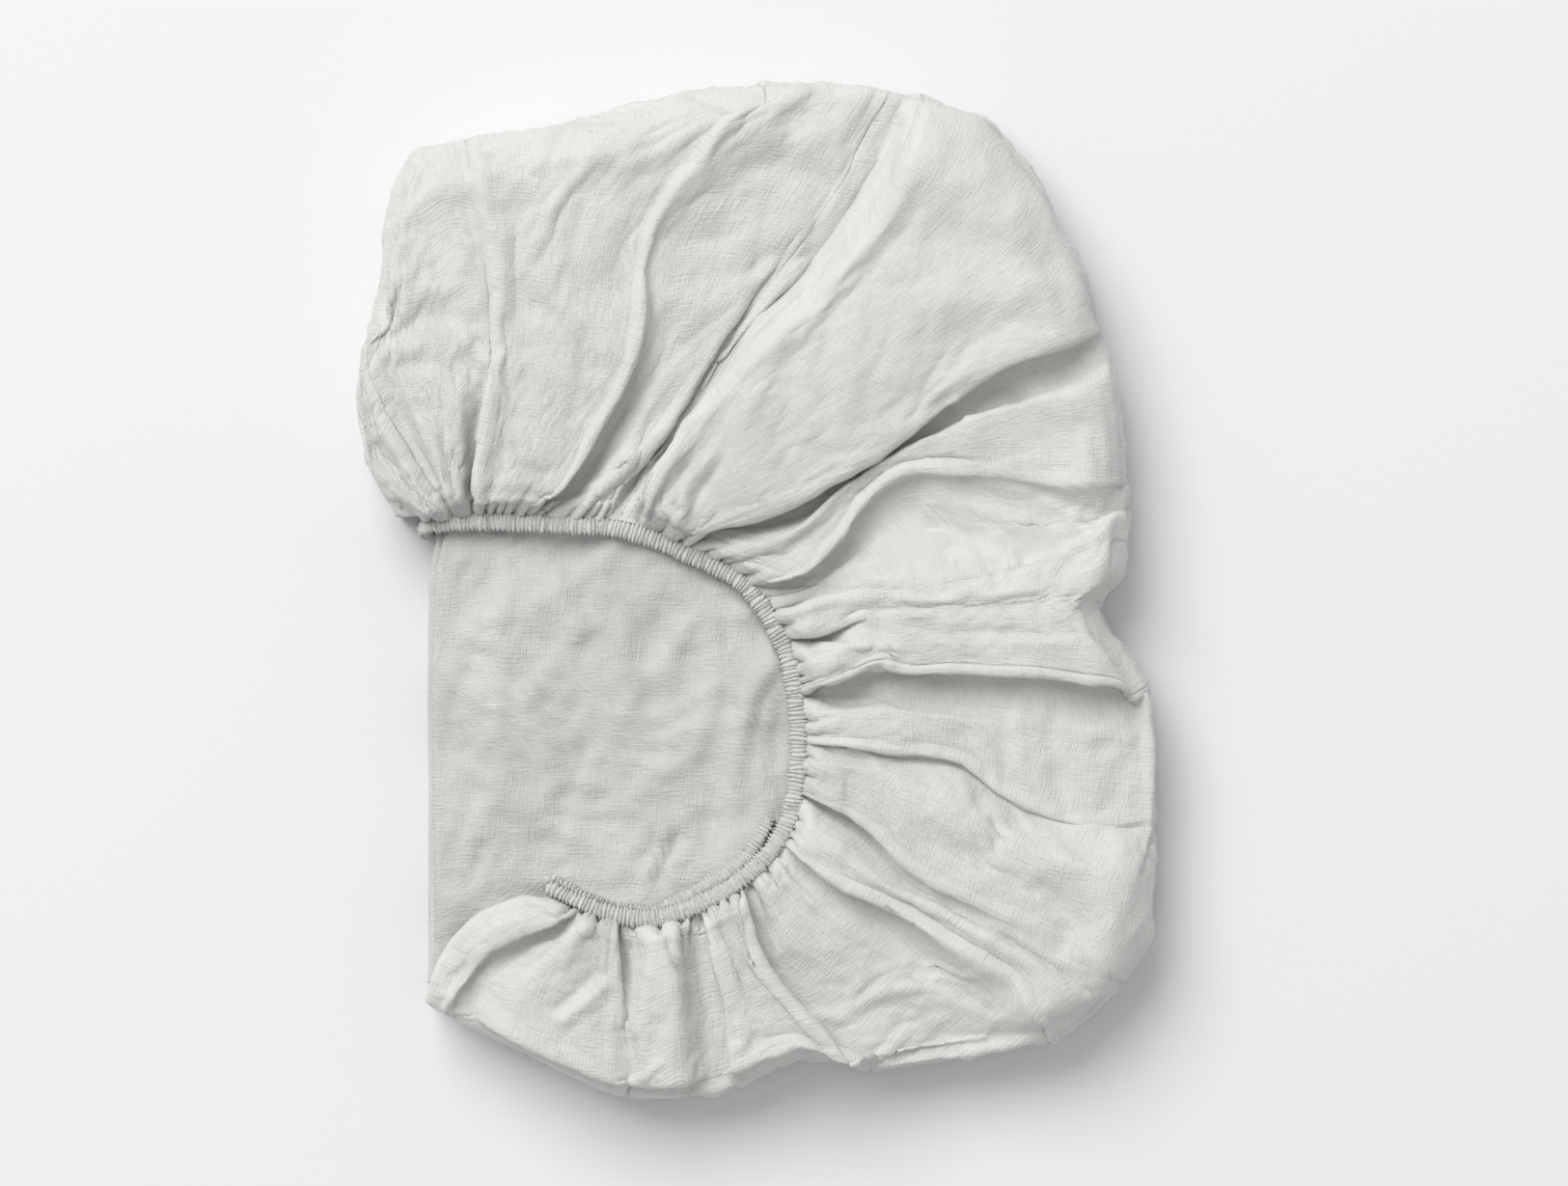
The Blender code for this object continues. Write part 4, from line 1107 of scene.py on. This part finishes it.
def applyNodes(piece, tree, values):
    # Runs a node tree on a piece and keeps the result as its plain mesh.
    modifier = piece.modifiers.new("shape", "NODES")
    modifier.node_group = tree
    for identifier, value in values.items():
        modifier[identifier] = value
    depsgraph = bpy.context.evaluated_depsgraph_get()
    mesh = bpy.data.meshes.new_from_object(piece.evaluated_get(depsgraph))
    piece.modifiers.remove(modifier)
    piece.data = mesh


def stitchNodes(material):
    # A slim bead of thread on every stitch place along the lines.
    tree, values = startTree("stitchRows", {
        "Pitch": stitches["pitch"] * mm, "Length": stitches["length"] * mm,
        "Width": stitches["width"] * mm})
    given = addNode(tree, "NodeGroupInput").outputs
    lines = addNode(tree, "GeometryNodeMeshToCurve", None, {0: given["Geometry"]})
    places = addNode(tree, "GeometryNodeCurveToPoints", {"mode": "LENGTH"},
                     {"Curve": lines.outputs[0], "Length": given["Pitch"]})
    bead = addNode(tree, "GeometryNodeMeshUVSphere", {"Segments": 8, "Rings": 6, "Radius": 0.5})
    size = addNode(tree, "ShaderNodeCombineXYZ", None,
                   {"X": given["Width"], "Y": given["Width"], "Z": given["Length"]})
    put = addNode(tree, "GeometryNodeInstanceOnPoints", None,
                  {"Points": places.outputs["Points"], "Instance": bead.outputs["Mesh"],
                   "Rotation": places.outputs["Rotation"], "Scale": size.outputs[0]})
    real = addNode(tree, "GeometryNodeRealizeInstances", None, {0: put.outputs[0]})
    coated = addNode(tree, "GeometryNodeSetMaterial", {"Material": material}, {0: real.outputs[0]})
    addNode(tree, "NodeGroupOutput", None, {0: coated.outputs[0]})
    return tree, values


def stitchPiece(grid):
    # Two lines on the skirt, each point as high as the highest cloth close by.
    line = PlanLine([fromPhoto(*pixel) for pixel in stitches["path"]])
    nodes = grid.reshape(-1, 3)
    points = []
    edges = []
    for side in (-0.5, 0.5):
        for distance in np.arange(1.0, line.length, 1.0):
            place = line.at(distance) + line.left(distance) * side * stitches["apart"]
            near = np.argsort(np.hypot(*(nodes[:, :2] - place).T))[:9]
            height = nodes[near, 2].max() + skirt["thickness"] / 2
            if distance > 1.0:
                edges.append((len(points) - 1, len(points)))
            points.append((place[0] * mm, place[1] * mm, height * mm))
    piece = addObject("seam_stitches", addMesh("seam_stitches", points, edges, []))
    thread = makeLinen("linenThread", dict(linen, colour=stitches["colour"]))
    applyNodes(piece, *stitchNodes(thread))
    print("stitches:", len(piece.data.polygons), "faces")
    return piece


# The ruched casing of the elastic. Its route is (x, y, z, half width): down the stack's left
# side, round the top, and back inside itself from the loop. Its doubled part lies higher.
casing = {
    "halfHeight": 3.3,
    "halfWidth": 4.7,
    "rest": 44.8,
    "lift": 47.2,
    "liftSpan": (8.0, 3.0),     # counted in points of the elastic's line
    "loopSpan": (12.5, 1.5),    # towards the loop it sinks again and is slimmer
    "loopSink": 0.3,
    "loopSlim": 1.2,
    "down": ((-155.5, 28.5, 0.9, 3.6), (-155.5, 29.0, 18.0, 3.6), (-155.5, 29.5, 32.0, 3.6),
             (-154.5, 30.0, 40.5, 3.6), (-149.0, 30.8, 43.6, 3.7)),
    "back": ((-96.6, -137.0, 44.8, 3.3), (-95.8, -134.6, 43.6, 3.0), (-91.5, -136.0, 43.0, 2.8),
             (-80.3, -142.0, 42.8, 2.8), (-68.0, -147.0, 42.8, 2.8), (-50.0, -148.6, 43.0, 3.0),
             (-36.0, -144.0, 43.4, 3.5), (-22.5, -136.5, 43.6, 3.8), (-5.5, -124.2, 43.6, 3.8),
             (6.5, -105.5, 43.4, 3.6)),
    "ringStep": 0.24,
    "sides": 16,
    "ribPitch": 1.95,
    "ribDepth": 2.3,
    "ribWander": 2.2,
    "ribDrift": 0.55,
    "ribRound": 0.6,            # below 1 the crests are broad and the hollows sharp
    "ribSizes": (0.6, 1.15),
    "ribMiddle": 0.75,
    "steepRun": 0.35,
    "sway": (0.35, 9.0),        # how far the tube wanders to the side, and over what length
    "bob": (0.3, 7.0),
    "taper": (0.55, 8.0),
    "square": 0.8,
    "around": 24.0,             # cloth round the tube
    "gathered": 2.6,            # cloth for one length of the elastic
    "mottle": 12.0,
}


def casingRoute():
    rest = []
    liftStart, liftSpan = casing["liftSpan"]
    loopStart, loopSpan = casing["loopSpan"]
    for i, (x, y) in enumerate(bundle["elastic"]):
        loop = float(smoothStep((i - loopStart) / loopSpan))
        lift = float(smoothStep((i - liftStart) / liftSpan)) * (1.0 - casing["loopSink"] * loop)
        half = casing["halfWidth"] - casing["loopSlim"] * loop
        rest.append((x, y, casing["rest"] + (casing["lift"] - casing["rest"]) * lift, half))
    return curveThrough(list(casing["down"]) + rest[1:] + list(casing["back"]), 24)


def evenRoute(route, step):
    # The route again in even steps, with the way along it.
    gaps = np.linalg.norm(np.diff(route[:, :3], axis=0), axis=1)
    along = np.concatenate([[0.0], np.cumsum(gaps)])
    places = np.linspace(0.0, along[-1], int(round(along[-1] / step)) + 1)
    return np.stack([np.interp(places, along, route[:, i]) for i in range(4)], axis=1), places


def levelSide(tangent, lastSide):
    # The tube's level way across. Where it runs steeply, the last one is carried on.
    flat = math.hypot(tangent[0], tangent[1])
    if flat > casing["steepRun"]:
        return np.array([tangent[1], -tangent[0], 0.0]) / flat
    side = lastSide - tangent * np.dot(lastSide, tangent)
    return side / np.linalg.norm(side)


def ribNodes(material):
    # Ribs across the tube: rounded crests and sharp hollows, uneven in width, height and slant.
    tree, values = startTree("ruchedRibs", {
        "Rib Pitch": casing["ribPitch"], "Rib Depth": casing["ribDepth"] * mm,
        "Rib Wander": casing["ribWander"]})
    given = addNode(tree, "NodeGroupInput").outputs
    along, side = [addNode(tree, "GeometryNodeInputNamedAttribute",
                           {"data_type": "FLOAT", "Name": name}).outputs[0]
                   for name in ("along", "side")]
    count = addNode(tree, "ShaderNodeMath", {"operation": "DIVIDE"},
                    {0: along, 1: given["Rib Pitch"]}).outputs[0]
    slow = addNode(tree, "ShaderNodeCombineXYZ", None, {"X": count, "Y": side})
    spread = addNode(tree, "ShaderNodeTexNoise", {"Scale": casing["ribDrift"], "Detail": 2.0},
                     {"Vector": slow.outputs[0]}).outputs["Fac"]
    shift = addNode(tree, "ShaderNodeMath", {"operation": "MULTIPLY"},
                    {0: spread, 1: given["Rib Wander"]}).outputs[0]
    phase = addNode(tree, "ShaderNodeMath", {"operation": "ADD"}, {0: count, 1: shift}).outputs[0]
    wave = addNode(tree, "ShaderNodeMath", {"operation": "PINGPONG", 1: 0.5}, {0: phase}).outputs[0]
    double = addNode(tree, "ShaderNodeMath", {"operation": "MULTIPLY", 1: 2.0},
                     {0: wave}).outputs[0]
    crest = addNode(tree, "ShaderNodeMath", {"operation": "POWER", 1: casing["ribRound"]},
                    {0: double}).outputs[0]
    which = addNode(tree, "ShaderNodeMath", {"operation": "ROUND"}, {0: phase}).outputs[0]
    each = addNode(tree, "ShaderNodeTexWhiteNoise", {"noise_dimensions": "1D"},
                   {"W": which}).outputs["Value"]
    least, most = casing["ribSizes"]
    size = addNode(tree, "ShaderNodeMapRange", {"To Min": least, "To Max": most}, {"Value": each})
    tall = addNode(tree, "ShaderNodeMath", {"operation": "MULTIPLY"},
                   {0: crest, 1: size.outputs[0]}).outputs[0]
    less = addNode(tree, "ShaderNodeMath", {"operation": "SUBTRACT", 1: casing["ribMiddle"]},
                   {0: tall}).outputs[0]
    push = addNode(tree, "ShaderNodeMath", {"operation": "MULTIPLY"},
                   {0: less, 1: given["Rib Depth"]}).outputs[0]
    out = addNode(tree, "ShaderNodeVectorMath", {"operation": "SCALE"},
                  {0: addNode(tree, "GeometryNodeInputNormal").outputs[0], "Scale": push})
    moved = addNode(tree, "GeometryNodeSetPosition", None,
                    {"Geometry": given["Geometry"], "Offset": out.outputs[0]})
    real = addNode(tree, "GeometryNodeRealizeInstances", None, {0: moved.outputs[0]})
    coated = addNode(tree, "GeometryNodeSetMaterial", {"Material": material}, {0: real.outputs[0]})
    addNode(tree, "NodeGroupOutput", None, {0: coated.outputs[0]})
    return tree, values


def casingPiece():
    points, places = evenRoute(casingRoute(), casing["ringStep"])
    tangents = np.gradient(points[:, :3], axis=0)
    tangents /= np.linalg.norm(tangents, axis=1, keepdims=True)
    side = np.array([0.0, -1.0, 0.0])
    sides = casing["sides"]
    sway, swayLength = casing["sway"]
    bob, bobLength = casing["bob"]
    thin, thinLength = casing["taper"]
    rings = []
    facts = []
    for i, (point, tangent) in enumerate(zip(points, tangents)):
        side = levelSide(tangent, side)
        up = np.cross(tangent, side)
        aside = sway * noise.noise(Vector((places[i] / swayLength, 4.0, 0.0)))
        lift = bob * noise.noise(Vector((places[i] / bobLength, 9.0, 0.0)))
        taper = min(1.0, thin + places[i] / thinLength,
                    thin + (places[-1] - places[i]) / thinLength)
        ring = []
        for k in range(sides):
            angle = 2 * math.pi * k / sides
            wide = math.copysign(abs(math.cos(angle)) ** casing["square"], math.cos(angle))
            tall = math.copysign(abs(math.sin(angle)) ** casing["square"], math.sin(angle))
            ring.append(point[:3] + side * (wide * point[3] * taper + aside)
                        + up * (tall * casing["halfHeight"] * taper + lift))
            facts.append((places[i], math.cos(angle) * 0.9))
        rings.append(ring)
    rings = np.array(rings)
    count = len(rings)
    index = np.arange(count * sides).reshape(count, sides)
    following = np.roll(index, -1, axis=1)
    faces = np.stack([index[:-1], following[:-1], following[1:], index[1:]], axis=-1)
    faces = faces.reshape(-1, 4).tolist() + [index[0][::-1].tolist(), index[-1].tolist()]
    points = (rings.reshape(-1, 3) * mm).tolist()
    mesh = addMesh("elastic_casing_cloth", points, [], faces)
    facts = np.array(facts)
    for name, column in (("along", 0), ("side", 1)):
        attribute = mesh.attributes.new(name, "FLOAT", "POINT")
        attribute.data.foreach_set("value", facts[:, column].copy())
    layer = mesh.uv_layers.new(name="cloth")
    loops = np.zeros(len(mesh.loops), int)
    mesh.loops.foreach_get("vertex_index", loops)
    around = np.tile(np.arange(sides) / sides * casing["around"], count)
    uv = np.stack([facts[loops, 0] * casing["gathered"], around[loops]], axis=1) / uvUnit
    layer.data.foreach_set("uv", uv.ravel())
    mesh.shade_smooth()
    piece = addObject("elastic_casing_cloth", mesh)
    cloth = makeLinen("ruchedLinenCasing", dict(linen, mottle=casing["mottle"]))
    applyNodes(piece, *ribNodes(cloth))
    print("casing:", len(piece.data.polygons), "faces")
    return piece


# The studio: a pale floor, one broad light from the upper left and a pale sky all round
studio = {
    "floorSize": 9.0,
    "floorColour": "#E9E9E9",
    "floorRoughness": 0.95,
    "floorShine": 0.1,
    "skyColour": "#FFFFFF",
    "skyStrength": 0.50,
    "lightPlace": (-2.55, 3.9, 5.7),
    "lightSize": 5.4,
    "lightPower": 446.0,
    "cameraPixel": (812.5, 614.5),
    "cameraHeight": 3.0,
    "sensorWidth": 36.0,
}


def makeFloor():
    half = studio["floorSize"] / 2
    corners = [(-half, -half, 0), (half, -half, 0), (half, half, 0), (-half, half, 0)]
    mesh = addMesh("floor", corners, [], [(0, 1, 2, 3)])
    paper = bpy.data.materials.new("mattStudioPaper")
    paper.use_nodes = True
    shader = paper.node_tree.nodes["Principled BSDF"]
    shader.inputs["Base Color"].default_value = hexColour(studio["floorColour"])
    shader.inputs["Roughness"].default_value = studio["floorRoughness"]
    shader.inputs["Specular IOR Level"].default_value = studio["floorShine"]
    mesh.materials.append(paper)
    addObject("floor", mesh)


def makeLights():
    world = bpy.data.worlds.new("paleSky")
    bpy.context.scene.world = world
    world.use_nodes = True
    sky = world.node_tree.nodes["Background"]
    sky.inputs["Color"].default_value = hexColour(studio["skyColour"])
    sky.inputs["Strength"].default_value = studio["skyStrength"]
    lamp = bpy.data.lights.new("softbox", "AREA")
    lamp.shape = "DISK"
    lamp.size = studio["lightSize"]
    lamp.energy = studio["lightPower"]
    light = addObject("softbox", lamp)
    light.location = studio["lightPlace"]
    aim = Vector((0, 0, 0)) - light.location
    light.rotation_euler = aim.to_track_quat("-Z", "Y").to_euler()


def makeCamera(topHeight):
    # Straight above, framed so that one pixel at the bundle's top is the photograph's.
    lens = bpy.data.cameras.new("camera")
    camera = addObject("camera", lens)
    x, y = fromPhoto(*studio["cameraPixel"])
    camera.location = (x * mm, y * mm, topHeight + studio["cameraHeight"])
    frameWidth = photo["width"] * photo["size"] * mm
    lens.sensor_width = studio["sensorWidth"]
    lens.lens = lens.sensor_width * studio["cameraHeight"] / frameWidth
    lens.clip_start = 0.05
    lens.clip_end = 30.0
    bpy.context.scene.camera = camera


bpy.context.scene.view_settings.view_transform = "Standard"
makeFloor()
makeLights()
makeCamera(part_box("main_panel")[1].z)
print("studio done")

skirtSides, skirtGrid = skirtPieces()
for piece, flat in skirtSides:
    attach(piece, "root")
    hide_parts("skirt")

panelCloth = panelPiece()
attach(panelCloth, "root")
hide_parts("main_panel")

casingCloth = casingPiece()
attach(casingCloth, "root")
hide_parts("elastic_casing")

seamStitches = stitchPiece(skirtGrid)
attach(seamStitches, "root")
